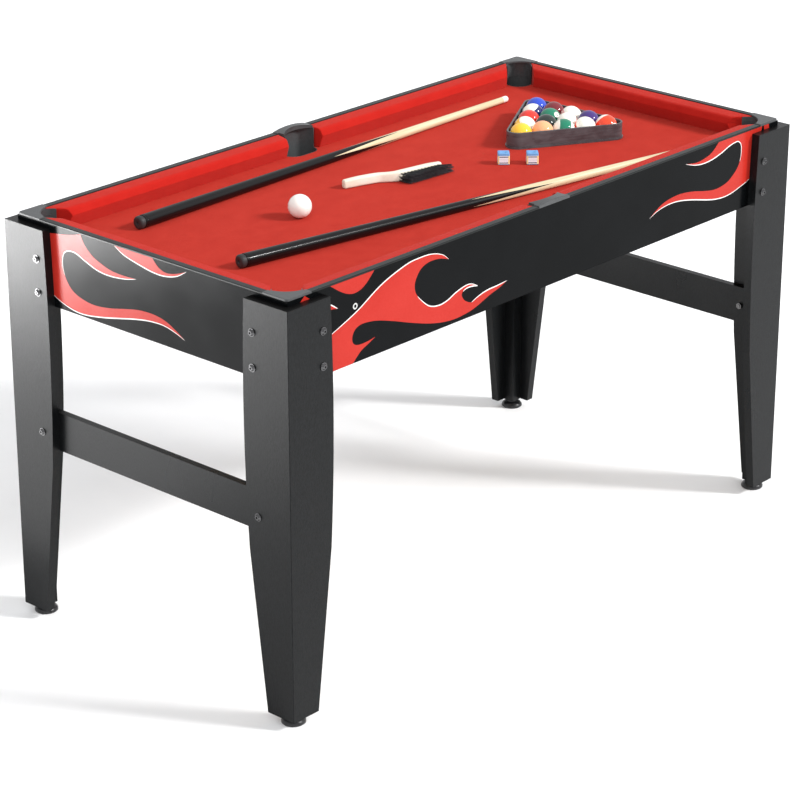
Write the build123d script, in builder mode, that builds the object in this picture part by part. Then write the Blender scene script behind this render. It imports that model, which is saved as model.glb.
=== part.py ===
"""Home pool table, 4 ft class: six pockets, folded board legs, red cloth, cues, balls and rack.

Frame: origin on the floor under the middle of the table, +X along the length, +Y across it, +Z up.
Lengths are in millimetres. "near" is -Y, "far" is +Y, "left" is -X and "right" is +X.
"""

import os
from math import asin, atan2, cos, degrees, radians, sin, sqrt

from build123d import *

os.makedirs("parts", exist_ok=True)

# ---- driving dimensions -------------------------------------------------------------------

TABLE_LENGTH = 1219.0  # over the leg boards
TABLE_WIDTH = 608.0
RAIL_TOP = 681.0  # top of the rail trim above the floor
FOOT_HEIGHT = 15.0  # leveller pad, screwed right in
CORNER_RADIUS = 1.0  # folded outer edge of a leg

LEG_TOP = 671.0
LEG_BOARD = 15.0
LEG_TOP_WIDTH = 88.0
LEG_WIDEST = 92.0
LEG_WIDEST_HEIGHT = 430.0  # above the bottom edge of the board
LEG_TAPER_WIDTH = 85.5
LEG_TAPER_HEIGHT = 262.0
LEG_FOOT_WIDTH = 54.0
BLOCK_SIZE = 22.0  # square glue block in the corner of a leg

APRON_BOARD = 12.0
APRON_BOTTOM = 545.5
TRIM_THICKNESS = 2.5
TRIM_EDGE = 1.1  # rounding of its top edges
BARB_SLOT = 2.6
BARB_WIDTH = 2.4
BARB_DEPTH = 8.0

BED_DEPTH = 36.0  # cloth below the rail top
CLOTH = 1.0
BED_PANEL = 9.0
NOSE_REACH = 41.5  # cushion nose from the apron's outer face
NOSE_DROP = 15.0
NOSE_ROUND = 2.5
SHOULDER_REACH = 36.0
SHOULDER_DROP = 3.4
SHOULDER_ROUND = 8.5
BACK_DROP = 1.2  # cushion below the rail top where it meets the apron
TOE_REACH = 34.5
CORE_WIDTH = 15.0

POCKET_RADIUS = 21.5
POCKET_WALL = 1.5
POCKET_INSET = 35.0  # corner pocket centre from both apron faces
POCKET_FLOOR = 550.0
CAP_THICKNESS = 3.5
CAP_REACH = 50.0
CAP_CORNER = 5.0
CAP_CHAMFER = 0.8
SIDE_LENGTH = 66.0  # inside of a side pocket, along the rail
SIDE_DEPTH = 40.0
SIDE_INSET = 24.5
SIDE_CAP_HALF = 37.0
SIDE_CAP_RISE = 4.0  # crown of the arched cap above its ends
FIT_GAP = 0.3

STRETCHER_BOTTOM = 303.0
STRETCHER_HEIGHT = 64.5
STRETCHER_BOARD = 12.0
STRETCHER_INSET = 52.0  # its end from the outside of the side boards

BOLT_RADIUS = 3.0
BOLT_HOLE_RADIUS = 3.25
BOLT_INSET = 72.0
BOLT_HEIGHTS = (568.0, 622.5)
STRETCHER_BOLT_INSET = 66.0
STRETCHER_BOLT_HEIGHT = 334.0
WASHER_RADIUS = 6.25
WASHER_THICKNESS = 1.2
HEAD_RADIUS = 5.25
HEAD_HEIGHT = 3.2
HEAD_TAPER = 32.0
SOCKET_RADIUS = 2.0
SOCKET_DEPTH = 2.0
NUT_ACROSS = 10.0
NUT_THICKNESS = 4.5

FOOT_INSET = 24.0
PAD_RADIUS = 19.0
PAD_EDGE = 1.5
PAD_SIDE_TOP = 4.0
PAD_NECK_RADIUS = 8.5
PAD_NECK_HEIGHT = 10.2
STUD_RADIUS = 4.0
STUD_CLEARANCE = 0.05
STUD_LENGTH = 34.0
STUD_CHAMFER = 1.0

BALL_RADIUS = 19.05
BALL_PITCH = 38.4
RACK_CLEARANCE = 1.1  # between the balls and the wall
RACK_WALL = 3.4
RACK_HEIGHT = 28.0
RACK_FOOT_WIDTH = 1.6
RACK_FOOT_HEIGHT = 3.0
RACK_ROUND = 1.0
RACK_CORNER = 16.0  # radius of the inside corners, tighter than a ball
RACK_APEX_X = 277.5
RACK_MIDDLE_Y = 12.0

CUE_LENGTH = 914.0
CUE_BUTT_RADIUS = 11.0
CUE_TIP_RADIUS = 5.5
BUMPER_LENGTH = 10.0
BUMPER_INSET = 0.4
BUMPER_ROUND = 2.5
FERRULE_LENGTH = 14.0
FERRULE_ROUND = 2.2

CHALK_SIZE = 19.6
CHALK_HOLLOW_RADIUS = 6.0
CHALK_HOLLOW_DEPTH = 1.2
CHALK_TURN = -46.0

# ---- places worked out from them ----------------------------------------------------------

HALF_LENGTH = TABLE_LENGTH / 2
HALF_WIDTH = TABLE_WIDTH / 2
FACE_X = HALF_LENGTH - LEG_BOARD  # outer face of an end apron
FACE_Y = HALF_WIDTH - LEG_BOARD  # outer face of a side apron
INSIDE_X = FACE_X - APRON_BOARD
INSIDE_Y = FACE_Y - APRON_BOARD
APRON_TOP = RAIL_TOP - TRIM_THICKNESS
BED_TOP = RAIL_TOP - BED_DEPTH
PANEL_TOP = BED_TOP - CLOTH
PANEL_BOTTOM = PANEL_TOP - BED_PANEL
POCKET_X = FACE_X - POCKET_INSET
POCKET_Y = FACE_Y - POCKET_INSET
SIDE_POCKET_Y = FACE_Y - SIDE_INSET
POCKET_OUTER = POCKET_RADIUS + POCKET_WALL
CLAMPED = LEG_BOARD + APRON_BOARD  # two boards under each bolt
BLOCK_TOP = APRON_BOTTOM - 2.0
REST = BED_TOP + FIT_GAP  # what lies on the cloth starts here


def save(builder, name):
    """Label a finished piece and write its file."""
    builder.part.label = name
    export_step(builder.part, f"parts/{name}.step")


def save_four(source, stem):
    """Write the far right piece and its copies at the other three corners."""
    save(source, f"{stem}_far_right")
    with BuildPart() as near_left:
        add(source.part, rotation=(0, 0, 180))
    save(near_left, f"{stem}_near_left")
    with BuildPart() as far_left:
        mirror(source.part, about=Plane.YZ)
    save(far_left, f"{stem}_far_left")
    with BuildPart() as near_right:
        mirror(source.part, about=Plane.XZ)
    save(near_right, f"{stem}_near_right")


def save_pair(source, stem, names, plane):
    """Write a piece and its mirror image across a middle plane of the table."""
    save(source, f"{stem}_{names[0]}")
    with BuildPart() as other:
        mirror(source.part, about=plane)
    save(other, f"{stem}_{names[1]}")


# ---- fastener places ----------------------------------------------------------------------

# Each place is a plane on the outside of a leg: its origin on the face, its normal outwards.
BOLT_PLANES = []
for along in (-1, 1):
    for across in (-1, 1):
        for height in BOLT_HEIGHTS:
            end_point = (along * HALF_LENGTH, across * (HALF_WIDTH - BOLT_INSET), height)
            BOLT_PLANES.append(Plane(origin=end_point, z_dir=(along, 0, 0)))
            side_point = (along * (HALF_LENGTH - BOLT_INSET), across * HALF_WIDTH, height)
            BOLT_PLANES.append(Plane(origin=side_point, z_dir=(0, across, 0)))
        low_y = across * (HALF_WIDTH - STRETCHER_BOLT_INSET)
        low_point = (along * HALF_LENGTH, low_y, STRETCHER_BOLT_HEIGHT)
        BOLT_PLANES.append(Plane(origin=low_point, z_dir=(along, 0, 0)))


def drill(planes, depth):
    """Cut the clearance holes of these bolts out of the current part, inwards from the legs' faces."""
    for plane in planes:
        with BuildSketch(plane) as hole:
            Circle(BOLT_HOLE_RADIUS)
        extrude(hole.sketch, amount=-depth, mode=Mode.SUBTRACT)


def planes_where(test):
    """Bolt planes whose origin passes a test."""
    return [plane for plane in BOLT_PLANES if test(plane.origin)]


# ---- legs ---------------------------------------------------------------------------------


def leg_outline():
    """One board of a leg, from its outer corner: straight edge at 0, tapered edge inwards."""
    board_height = LEG_TOP - FOOT_HEIGHT
    with BuildSketch() as outline:
        with BuildLine():
            Line((0, 0), (LEG_FOOT_WIDTH, 0))
            Line((LEG_FOOT_WIDTH, 0), (LEG_TAPER_WIDTH, LEG_TAPER_HEIGHT))
            ThreePointArc(
                (LEG_TAPER_WIDTH, LEG_TAPER_HEIGHT),
                (LEG_WIDEST, LEG_WIDEST_HEIGHT),
                (LEG_TOP_WIDTH, board_height),
            )
            Line((LEG_TOP_WIDTH, board_height), (0, board_height))
            Line((0, board_height), (0, 0))
        make_face()
    return outline.sketch


LEG_CORNER = (HALF_LENGTH, HALF_WIDTH, FOOT_HEIGHT)
with BuildPart() as leg:
    with BuildSketch(Plane(origin=LEG_CORNER, x_dir=(-1, 0, 0), z_dir=(0, 1, 0))):
        add(leg_outline())
    extrude(amount=-LEG_BOARD)
    with BuildSketch(Plane(origin=LEG_CORNER, x_dir=(0, -1, 0), z_dir=(-1, 0, 0))):
        add(leg_outline())
    extrude(amount=LEG_BOARD)
    outer_edges = leg.edges().filter_by(Axis.Z).sort_by(Axis.X)[-4:].sort_by(Axis.Y)
    fillet(outer_edges[-1], radius=CORNER_RADIUS)
    drill(planes_where(lambda p: p.X > 0 and p.Y > 0), LEG_BOARD)
save_four(leg, "leg")

BLOCK_X = HALF_LENGTH - LEG_BOARD - BLOCK_SIZE / 2
BLOCK_Y = HALF_WIDTH - LEG_BOARD - BLOCK_SIZE / 2
FOOT_X = HALF_LENGTH - FOOT_INSET
FOOT_Y = HALF_WIDTH - FOOT_INSET
with BuildPart() as leg_glue_blocks:
    with BuildSketch(Plane.XY.offset(FOOT_HEIGHT)):
        with GridLocations(2 * BLOCK_X, 2 * BLOCK_Y, 2, 2):
            Rectangle(BLOCK_SIZE, BLOCK_SIZE)
        with GridLocations(2 * FOOT_X, 2 * FOOT_Y, 2, 2):
            Circle(STUD_RADIUS + STUD_CLEARANCE, mode=Mode.SUBTRACT)
    extrude(amount=BLOCK_TOP - FOOT_HEIGHT)
save(leg_glue_blocks, "leg_glue_blocks")

# ---- levellers: a threaded stud that travels in the block, and a pad that turns with it ----

PAD_TOP = FOOT_HEIGHT - FIT_GAP
SOCKET_BOTTOM = 4.0
with BuildPart() as foot_pad:
    with BuildSketch(Plane.XZ):
        with BuildLine():
            Polyline(
                (0, 0), (PAD_RADIUS - PAD_EDGE, 0), (PAD_RADIUS, PAD_EDGE), (PAD_RADIUS, PAD_SIDE_TOP)
            )
            TangentArc(
                (PAD_RADIUS, PAD_SIDE_TOP), (PAD_NECK_RADIUS, PAD_NECK_HEIGHT), tangent=(-0.3, 1.0)
            )
            Polyline(
                (PAD_NECK_RADIUS, PAD_NECK_HEIGHT), (PAD_NECK_RADIUS - 1, PAD_TOP), (0, PAD_TOP), (0, 0)
            )
        make_face()
    revolve(axis=Axis.Z)
    with BuildSketch(Plane.XY.offset(SOCKET_BOTTOM)):
        Circle(STUD_RADIUS + STUD_CLEARANCE)
    extrude(amount=FOOT_HEIGHT, mode=Mode.SUBTRACT)
with BuildPart() as foot_pad_placed:
    with Locations((FOOT_X, FOOT_Y, 0)):
        add(foot_pad.part)
save_four(foot_pad_placed, "foot_pad")

with BuildPart() as foot_stud:
    with BuildSketch(Plane.XY.offset(SOCKET_BOTTOM + FIT_GAP)):
        with Locations((FOOT_X, FOOT_Y)):
            Circle(STUD_RADIUS)
    extrude(amount=STUD_LENGTH)
    chamfer(foot_stud.faces().sort_by(Axis.Z)[-1].edges(), length=STUD_CHAMFER)
save_four(foot_stud, "foot_stud")

# ---- end stretchers -----------------------------------------------------------------------

STRETCHER_LENGTH = TABLE_WIDTH - 2 * STRETCHER_INSET
with BuildPart() as stretcher:
    with BuildSketch(Plane(origin=(FACE_X, 0, 0), x_dir=(0, 1, 0), z_dir=(1, 0, 0))):
        with Locations((0, STRETCHER_BOTTOM + STRETCHER_HEIGHT / 2)):
            Rectangle(STRETCHER_LENGTH, STRETCHER_HEIGHT)
    extrude(amount=-STRETCHER_BOARD)
    drill(planes_where(lambda p: p.X > 0 and p.Z < STRETCHER_BOTTOM + STRETCHER_HEIGHT), CLAMPED)
save_pair(stretcher, "stretcher", ("right", "left"), Plane.YZ)

# ---- aprons -------------------------------------------------------------------------------

APRON_HEIGHT = APRON_TOP - APRON_BOTTOM
RECESS_DEPTH = APRON_BOARD - (SIDE_INSET - SIDE_DEPTH / 2 - POCKET_WALL) + FIT_GAP
RECESS_HALF = SIDE_LENGTH / 2 + POCKET_WALL + 1.0

with BuildPart() as side_apron:
    with BuildSketch(Plane.XY.offset(APRON_BOTTOM)):
        with Locations((0, FACE_Y - APRON_BOARD / 2)):
            Rectangle(2 * FACE_X, APRON_BOARD)
        with Locations((0, INSIDE_Y + RECESS_DEPTH / 2)):
            Rectangle(2 * RECESS_HALF, RECESS_DEPTH, mode=Mode.SUBTRACT)
    extrude(amount=APRON_HEIGHT)
    with BuildSketch(Plane.XY.offset(APRON_TOP)):
        for side in (-1, 1):
            start = SIDE_CAP_HALF
            stop = FACE_X - CAP_REACH
            with Locations((side * (start + stop) / 2, FACE_Y - APRON_BOARD / 2)):
                Rectangle(stop - start, BARB_SLOT)
    extrude(amount=-BARB_DEPTH, mode=Mode.SUBTRACT)
    drill(planes_where(lambda p: p.Y > HALF_WIDTH - 1), CLAMPED)
save_pair(side_apron, "apron", ("far", "near"), Plane.XZ)

END_BARB = 2 * (FACE_Y - CAP_REACH)
with BuildPart() as end_apron:
    with BuildSketch(Plane.XY.offset(APRON_BOTTOM)):
        with Locations((FACE_X - APRON_BOARD / 2, 0)):
            Rectangle(APRON_BOARD, 2 * INSIDE_Y)
    extrude(amount=APRON_HEIGHT)
    with BuildSketch(Plane.XY.offset(APRON_TOP)):
        with Locations((FACE_X - APRON_BOARD / 2, 0)):
            Rectangle(BARB_SLOT, END_BARB)
    extrude(amount=-BARB_DEPTH, mode=Mode.SUBTRACT)
    drill(planes_where(lambda p: p.X > HALF_LENGTH - 1 and p.Z > APRON_BOTTOM), CLAMPED)
save_pair(end_apron, "apron", ("right", "left"), Plane.YZ)

# ---- T-moulding along the top of the aprons -------------------------------------------------

SIDE_TRIM_LENGTH = FACE_X - CAP_REACH - SIDE_CAP_HALF - 2 * FIT_GAP
SIDE_TRIM_MIDDLE = (FACE_X - CAP_REACH + SIDE_CAP_HALF) / 2


def trim_outline():
    """Section of the moulding: a flat cap with eased top edges and a barb below."""
    with BuildSketch() as section:
        with Locations((0, TRIM_THICKNESS / 2)):
            Rectangle(APRON_BOARD, TRIM_THICKNESS)
        fillet(section.vertices().sort_by(Axis.Y)[-2:], radius=TRIM_EDGE)
        with Locations((0, (FIT_GAP - BARB_DEPTH) / 2)):
            Rectangle(BARB_WIDTH, BARB_DEPTH - FIT_GAP)
    return section.sketch


with BuildPart() as side_trim:
    for side in (-1, 1):
        start_x = side * SIDE_TRIM_MIDDLE - SIDE_TRIM_LENGTH / 2
        trim_origin = (start_x, FACE_Y - APRON_BOARD / 2, APRON_TOP)
        with BuildSketch(Plane(origin=trim_origin, x_dir=(0, 1, 0), z_dir=(1, 0, 0))):
            add(trim_outline())
        extrude(amount=SIDE_TRIM_LENGTH)
save_pair(side_trim, "rail_trim", ("far", "near"), Plane.XZ)

with BuildPart() as end_trim:
    trim_origin = (FACE_X - APRON_BOARD / 2, END_BARB / 2 - FIT_GAP, APRON_TOP)
    with BuildSketch(Plane(origin=trim_origin, x_dir=(1, 0, 0), z_dir=(0, -1, 0))):
        add(trim_outline())
    extrude(amount=END_BARB - 2 * FIT_GAP)
save_pair(end_trim, "rail_trim", ("right", "left"), Plane.YZ)

# ---- bed ----------------------------------------------------------------------------------


def bed_outline():
    """Bed board with a notch at every pocket."""
    notch = POCKET_OUTER + FIT_GAP
    side_notch = SIDE_DEPTH + 2 * POCKET_WALL + 2 * FIT_GAP
    side_span = SIDE_LENGTH + 2 * POCKET_WALL + 2 * FIT_GAP
    with BuildSketch() as outline:
        Rectangle(2 * INSIDE_X, 2 * INSIDE_Y)
        with GridLocations(2 * POCKET_X, 2 * POCKET_Y, 2, 2):
            Circle(notch, mode=Mode.SUBTRACT)
        with GridLocations(2 * FACE_X, 2 * FACE_Y, 2, 2):
            Rectangle(2 * POCKET_INSET, 2 * POCKET_INSET, mode=Mode.SUBTRACT)
        with GridLocations(0, 2 * SIDE_POCKET_Y, 1, 2):
            SlotOverall(side_span, side_notch, mode=Mode.SUBTRACT)
        with GridLocations(0, 2 * FACE_Y, 1, 2):
            Rectangle(side_span, 2 * SIDE_INSET, mode=Mode.SUBTRACT)
    return outline.sketch


with BuildPart() as bed_panel:
    with BuildSketch(Plane.XY.offset(PANEL_BOTTOM)):
        add(bed_outline())
    extrude(amount=BED_PANEL)
save(bed_panel, "bed_panel")

with BuildPart() as bed_cloth:
    with BuildSketch(Plane.XY.offset(PANEL_TOP)):
        add(bed_outline())
    extrude(amount=CLOTH)
save(bed_cloth, "bed_cloth")

BRACE_X = 190.0
BRACE_BOARD = 12.0
BRACE_HEIGHT = 60.0
with BuildPart() as bed_braces:
    with BuildSketch(Plane.XY.offset(PANEL_BOTTOM - BRACE_HEIGHT)):
        with GridLocations(2 * BRACE_X, 0, 2, 1):
            Rectangle(BRACE_BOARD, 2 * INSIDE_Y)
    extrude(amount=BRACE_HEIGHT)
save(bed_braces, "bed_braces")

CLEAT = 18.0
CLEAT_STOP = 500.0
CLEAT_START = 60.0
CLEAT_BREAK = BRACE_BOARD / 2 + 0.5
END_CLEAT = 360.0
with BuildPart() as bed_cleats:
    with BuildSketch(Plane.XY.offset(PANEL_BOTTOM - CLEAT)):
        for start, stop in ((CLEAT_START, BRACE_X - CLEAT_BREAK), (BRACE_X + CLEAT_BREAK, CLEAT_STOP)):
            with GridLocations(start + stop, 2 * INSIDE_Y - CLEAT, 2, 2):
                Rectangle(stop - start, CLEAT)
        with GridLocations(2 * INSIDE_X - CLEAT, 0, 2, 1):
            Rectangle(CLEAT, END_CLEAT)
    extrude(amount=CLEAT)
save(bed_cleats, "bed_cleats")

# ---- cushions -----------------------------------------------------------------------------

MOUTH_OFFSET = sqrt(2) * (POCKET_OUTER + FIT_GAP)  # of a 45 degree cushion end, along the rail
SIDE_MOUTH = SIDE_LENGTH / 2 + POCKET_WALL + 2 * FIT_GAP
MOUTH_FLARE = 5.0
CORE_DROP = 6.0
CORE_END = 3.0


def cushion_section():
    """Section across a rail: x is the distance in from the apron face, y is the height."""
    with BuildSketch() as section:
        with BuildLine():
            Polyline(
                (APRON_BOARD, -BED_DEPTH),
                (APRON_BOARD, -BACK_DROP),
                (SHOULDER_REACH, -SHOULDER_DROP),
                (NOSE_REACH, -NOSE_DROP),
                (TOE_REACH, -BED_DEPTH),
                close=True,
            )
        make_face()
        shoulder = section.vertices().sort_by(Axis.X)[-2:].sort_by(Axis.Y)[-1]
        fillet(shoulder, radius=SHOULDER_ROUND)
        nose = section.vertices().sort_by(Axis.X)[-1]
        fillet(nose, radius=NOSE_ROUND)
    return section.sketch


def core_section():
    """Wooden rail inside the cushion."""
    with BuildSketch() as section:
        with Locations((APRON_BOARD + CORE_WIDTH / 2, -(BED_DEPTH + CORE_DROP) / 2)):
            Rectangle(CORE_WIDTH, BED_DEPTH - CORE_DROP)
    return section.sketch


def side_plan(trim):
    """Plan of the far right rail, cut square to the corner pocket's mouth."""
    reach = NOSE_REACH + 1
    with BuildSketch(Plane.XY.offset(BED_TOP - 1)) as plan:
        with BuildLine():
            Polyline(
                (SIDE_MOUTH + trim, FACE_Y - APRON_BOARD + 1),
                (FACE_X - MOUTH_OFFSET - APRON_BOARD + 1 - trim, FACE_Y - APRON_BOARD + 1),
                (FACE_X - MOUTH_OFFSET - reach - trim, FACE_Y - reach),
                (SIDE_MOUTH + MOUTH_FLARE + trim, FACE_Y - reach),
                close=True,
            )
        make_face()
    return plan.sketch


def end_plan(trim):
    """Plan of the right rail."""
    reach = NOSE_REACH + 1
    long_half = FACE_Y - MOUTH_OFFSET - APRON_BOARD + 1 - trim
    short_half = FACE_Y - MOUTH_OFFSET - reach - trim
    with BuildSketch(Plane.XY.offset(BED_TOP - 1)) as plan:
        with BuildLine():
            Polyline(
                (FACE_X - APRON_BOARD + 1, -long_half),
                (FACE_X - APRON_BOARD + 1, long_half),
                (FACE_X - reach, short_half),
                (FACE_X - reach, -short_half),
                close=True,
            )
        make_face()
    return plan.sketch


SIDE_RAIL_PLANE = Plane(origin=(0, FACE_Y, RAIL_TOP), x_dir=(0, -1, 0), z_dir=(-1, 0, 0))
END_RAIL_PLANE = Plane(origin=(FACE_X, 0, RAIL_TOP), x_dir=(-1, 0, 0), z_dir=(0, 1, 0))

with BuildPart() as side_core:
    with BuildSketch(SIDE_RAIL_PLANE):
        add(core_section())
    extrude(amount=-FACE_X)
    extrude(side_plan(CORE_END), amount=BED_DEPTH + 2, mode=Mode.INTERSECT)

with BuildPart() as end_core:
    with BuildSketch(END_RAIL_PLANE):
        add(core_section())
    extrude(amount=FACE_Y, both=True)
    extrude(end_plan(CORE_END), amount=BED_DEPTH + 2, mode=Mode.INTERSECT)

with BuildPart() as side_cushion:
    with BuildSketch(SIDE_RAIL_PLANE):
        add(cushion_section())
    extrude(amount=-FACE_X)
    extrude(side_plan(0), amount=BED_DEPTH + 2, mode=Mode.INTERSECT)
    add(side_core.part, mode=Mode.SUBTRACT)
save_four(side_cushion, "cushion")

with BuildPart() as end_cushion:
    with BuildSketch(END_RAIL_PLANE):
        add(cushion_section())
    extrude(amount=FACE_Y, both=True)
    extrude(end_plan(0), amount=BED_DEPTH + 2, mode=Mode.INTERSECT)
    add(end_core.part, mode=Mode.SUBTRACT)
save_pair(end_cushion, "cushion", ("right", "left"), Plane.YZ)

with BuildPart() as rail_cores:
    add(side_core.part)
    add(side_core.part, rotation=(0, 0, 180))
    mirror(side_core.part, about=Plane.YZ)
    mirror(side_core.part, about=Plane.XZ)
    add(end_core.part)
    mirror(end_core.part, about=Plane.YZ)
save(rail_cores, "rail_cores")

# ---- pockets ------------------------------------------------------------------------------

CORNER_LIP_RADIUS = 40.0
CORNER_LIP_START = 35.0  # edge of the lip from the outer corner, along the diagonal
WALL_REACH = 2.0  # how far the side walls run from the pocket centre towards the table
RIB_COUNT = 3
RIB_START = 7.0  # first rib above the cloth
RIB_STEP = 8.0
RIB_HEIGHT = 0.9
RIB_DEPTH = 0.6
CUT_HEIGHT = 150.0  # taller than any pocket
CAP_BOTTOM = APRON_TOP
TABLE_ANGLE = 225.0  # direction from the far right corner towards the middle
DIAGONAL = Plane(
    origin=(POCKET_X, POCKET_Y, 0),
    x_dir=(cos(radians(TABLE_ANGLE)), sin(radians(TABLE_ANGLE)), 0),
    z_dir=(0, 0, 1),
)

with BuildPart() as corner_pocket:
    # cup below the cloth
    with BuildSketch(DIAGONAL.offset(POCKET_FLOOR)):
        Circle(POCKET_OUTER)
    extrude(amount=BED_TOP - POCKET_FLOOR)
    with BuildSketch(DIAGONAL.offset(POCKET_FLOOR + POCKET_WALL)):
        Circle(POCKET_RADIUS)
    extrude(amount=CUT_HEIGHT, mode=Mode.SUBTRACT)
    # wall above the cloth, open towards the table
    with BuildSketch(DIAGONAL.offset(BED_TOP)):
        Circle(POCKET_OUTER)
        with Locations((WALL_REACH / 2, 0)):
            Rectangle(WALL_REACH, 2 * POCKET_OUTER)
        Circle(POCKET_RADIUS, mode=Mode.SUBTRACT)
        with Locations((CAP_REACH / 2, 0)):
            Rectangle(CAP_REACH, 2 * POCKET_RADIUS, mode=Mode.SUBTRACT)
    extrude(amount=CAP_BOTTOM - BED_TOP)
    # cap over the corner of the rails, with its curved lip
    with BuildSketch(Plane.XY.offset(CAP_BOTTOM)) as cap_plan:
        with Locations((FACE_X - CAP_REACH / 2, FACE_Y - CAP_REACH / 2)):
            Rectangle(CAP_REACH, CAP_REACH)
        fillet(cap_plan.vertices().sort_by(Axis.X)[-2:].sort_by(Axis.Y)[-1], radius=CAP_CORNER)
        with BuildSketch(mode=Mode.SUBTRACT):
            with BuildLine():
                Polyline(
                    (INSIDE_X, FACE_Y - MOUTH_OFFSET - APRON_BOARD),
                    (INSIDE_X, FACE_Y - CAP_REACH - 1),
                    (FACE_X - CAP_REACH - 1, FACE_Y - CAP_REACH - 1),
                    (FACE_X - CAP_REACH - 1, INSIDE_Y),
                    (FACE_X - MOUTH_OFFSET - APRON_BOARD, INSIDE_Y),
                    close=True,
                )
            make_face()
        lip_centre = CORNER_LIP_START + CORNER_LIP_RADIUS
        lip_step = lip_centre / sqrt(2)
        with Locations((FACE_X - lip_step, FACE_Y - lip_step)):
            Circle(CORNER_LIP_RADIUS, mode=Mode.SUBTRACT)
    extrude(amount=CAP_THICKNESS)
    chamfer(corner_pocket.faces().sort_by(Axis.Z)[-1].edges(), length=CAP_CHAMFER)
    # moulded ribs round the back wall
    for rib in range(RIB_COUNT):
        rib_height = BED_TOP + RIB_START + RIB_STEP * rib
        with BuildSketch(DIAGONAL.offset(rib_height)):
            with Locations((-POCKET_OUTER / 2, 0)):
                Rectangle(POCKET_OUTER, 2 * POCKET_OUTER)
            Circle(POCKET_RADIUS + POCKET_WALL / 2, mode=Mode.INTERSECT)
            Circle(POCKET_RADIUS - RIB_DEPTH, mode=Mode.SUBTRACT)
        extrude(amount=RIB_HEIGHT)
save_four(corner_pocket, "corner_pocket")

SIDE_LIP_HALF = 34.5
SIDE_LIP_RISE = 12.0
SIDE_WALL_REACH = 2.0
SIDE_PLANE = Plane(origin=(0, SIDE_POCKET_Y, 0), x_dir=(1, 0, 0), z_dir=(0, 0, 1))
SIDE_CAP_TOP = CAP_BOTTOM + CAP_THICKNESS
LIP_Y = INSIDE_Y - SIDE_LIP_RISE

# arched cap over the rail: its crown seen along the table, cut to its plan
with BuildPart() as side_cap:
    with BuildSketch(Plane.XZ.offset(-FACE_Y)):
        with BuildLine():
            Polyline(
                (-SIDE_CAP_HALF, SIDE_CAP_TOP),
                (-SIDE_CAP_HALF, CAP_BOTTOM),
                (SIDE_CAP_HALF, CAP_BOTTOM),
                (SIDE_CAP_HALF, SIDE_CAP_TOP),
            )
            ThreePointArc(
                (SIDE_CAP_HALF, SIDE_CAP_TOP),
                (0, SIDE_CAP_TOP + SIDE_CAP_RISE),
                (-SIDE_CAP_HALF, SIDE_CAP_TOP),
            )
        make_face()
    extrude(amount=SIDE_DEPTH)
    crown = side_cap.faces().sort_by(Axis.Z)[-1]
    chamfer(crown.edges(), length=CAP_CHAMFER)
    with BuildSketch(Plane.XY.offset(CAP_BOTTOM)) as side_cap_plan:
        with BuildLine():
            Polyline(
                (-SIDE_LIP_HALF, LIP_Y),
                (-SIDE_LIP_HALF, INSIDE_Y),
                (-SIDE_CAP_HALF, INSIDE_Y),
                (-SIDE_CAP_HALF, FACE_Y),
                (SIDE_CAP_HALF, FACE_Y),
                (SIDE_CAP_HALF, INSIDE_Y),
                (SIDE_LIP_HALF, INSIDE_Y),
                (SIDE_LIP_HALF, LIP_Y),
            )
            ThreePointArc((SIDE_LIP_HALF, LIP_Y), (0, INSIDE_Y), (-SIDE_LIP_HALF, LIP_Y))
        make_face()
    extrude(side_cap_plan.sketch, amount=SIDE_DEPTH, mode=Mode.INTERSECT)

with BuildPart() as side_pocket:
    with BuildSketch(SIDE_PLANE.offset(POCKET_FLOOR)):
        SlotOverall(SIDE_LENGTH + 2 * POCKET_WALL, SIDE_DEPTH + 2 * POCKET_WALL)
    extrude(amount=BED_TOP - POCKET_FLOOR)
    with BuildSketch(SIDE_PLANE.offset(POCKET_FLOOR + POCKET_WALL)):
        SlotOverall(SIDE_LENGTH, SIDE_DEPTH)
    extrude(amount=CUT_HEIGHT, mode=Mode.SUBTRACT)
    with BuildSketch(SIDE_PLANE.offset(BED_TOP)):
        SlotOverall(SIDE_LENGTH + 2 * POCKET_WALL, SIDE_DEPTH + 2 * POCKET_WALL)
        SlotOverall(SIDE_LENGTH, SIDE_DEPTH, mode=Mode.SUBTRACT)
        with Locations((0, -SIDE_DEPTH - SIDE_WALL_REACH)):
            Rectangle(SIDE_LENGTH * 2, SIDE_DEPTH * 2, mode=Mode.SUBTRACT)
    extrude(amount=CAP_BOTTOM - BED_TOP)
    add(side_cap.part)
save_pair(side_pocket, "side_pocket", ("far", "near"), Plane.XZ)

# ---- fasteners ----------------------------------------------------------------------------

BOLT_END = 1.0  # bolt past its nut
BOLT_LENGTH = CLAMPED + NUT_THICKNESS + BOLT_END
with BuildPart() as bolts:
    for plane in BOLT_PLANES:
        with BuildSketch(plane.offset(WASHER_THICKNESS)):
            Circle(BOLT_RADIUS)
        extrude(amount=-BOLT_LENGTH - WASHER_THICKNESS)
        with BuildSketch(plane.offset(WASHER_THICKNESS)):
            Circle(HEAD_RADIUS)
        extrude(amount=HEAD_HEIGHT, taper=HEAD_TAPER)
        with BuildSketch(plane.offset(WASHER_THICKNESS + HEAD_HEIGHT)):
            RegularPolygon(radius=SOCKET_RADIUS, side_count=6)
        extrude(amount=-SOCKET_DEPTH, mode=Mode.SUBTRACT)
save(bolts, "assembly_bolts")

with BuildPart() as washers:
    for plane in BOLT_PLANES:
        with BuildSketch(plane):
            Circle(WASHER_RADIUS)
            Circle(BOLT_HOLE_RADIUS, mode=Mode.SUBTRACT)
        extrude(amount=WASHER_THICKNESS)
save(washers, "assembly_washers")

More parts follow.
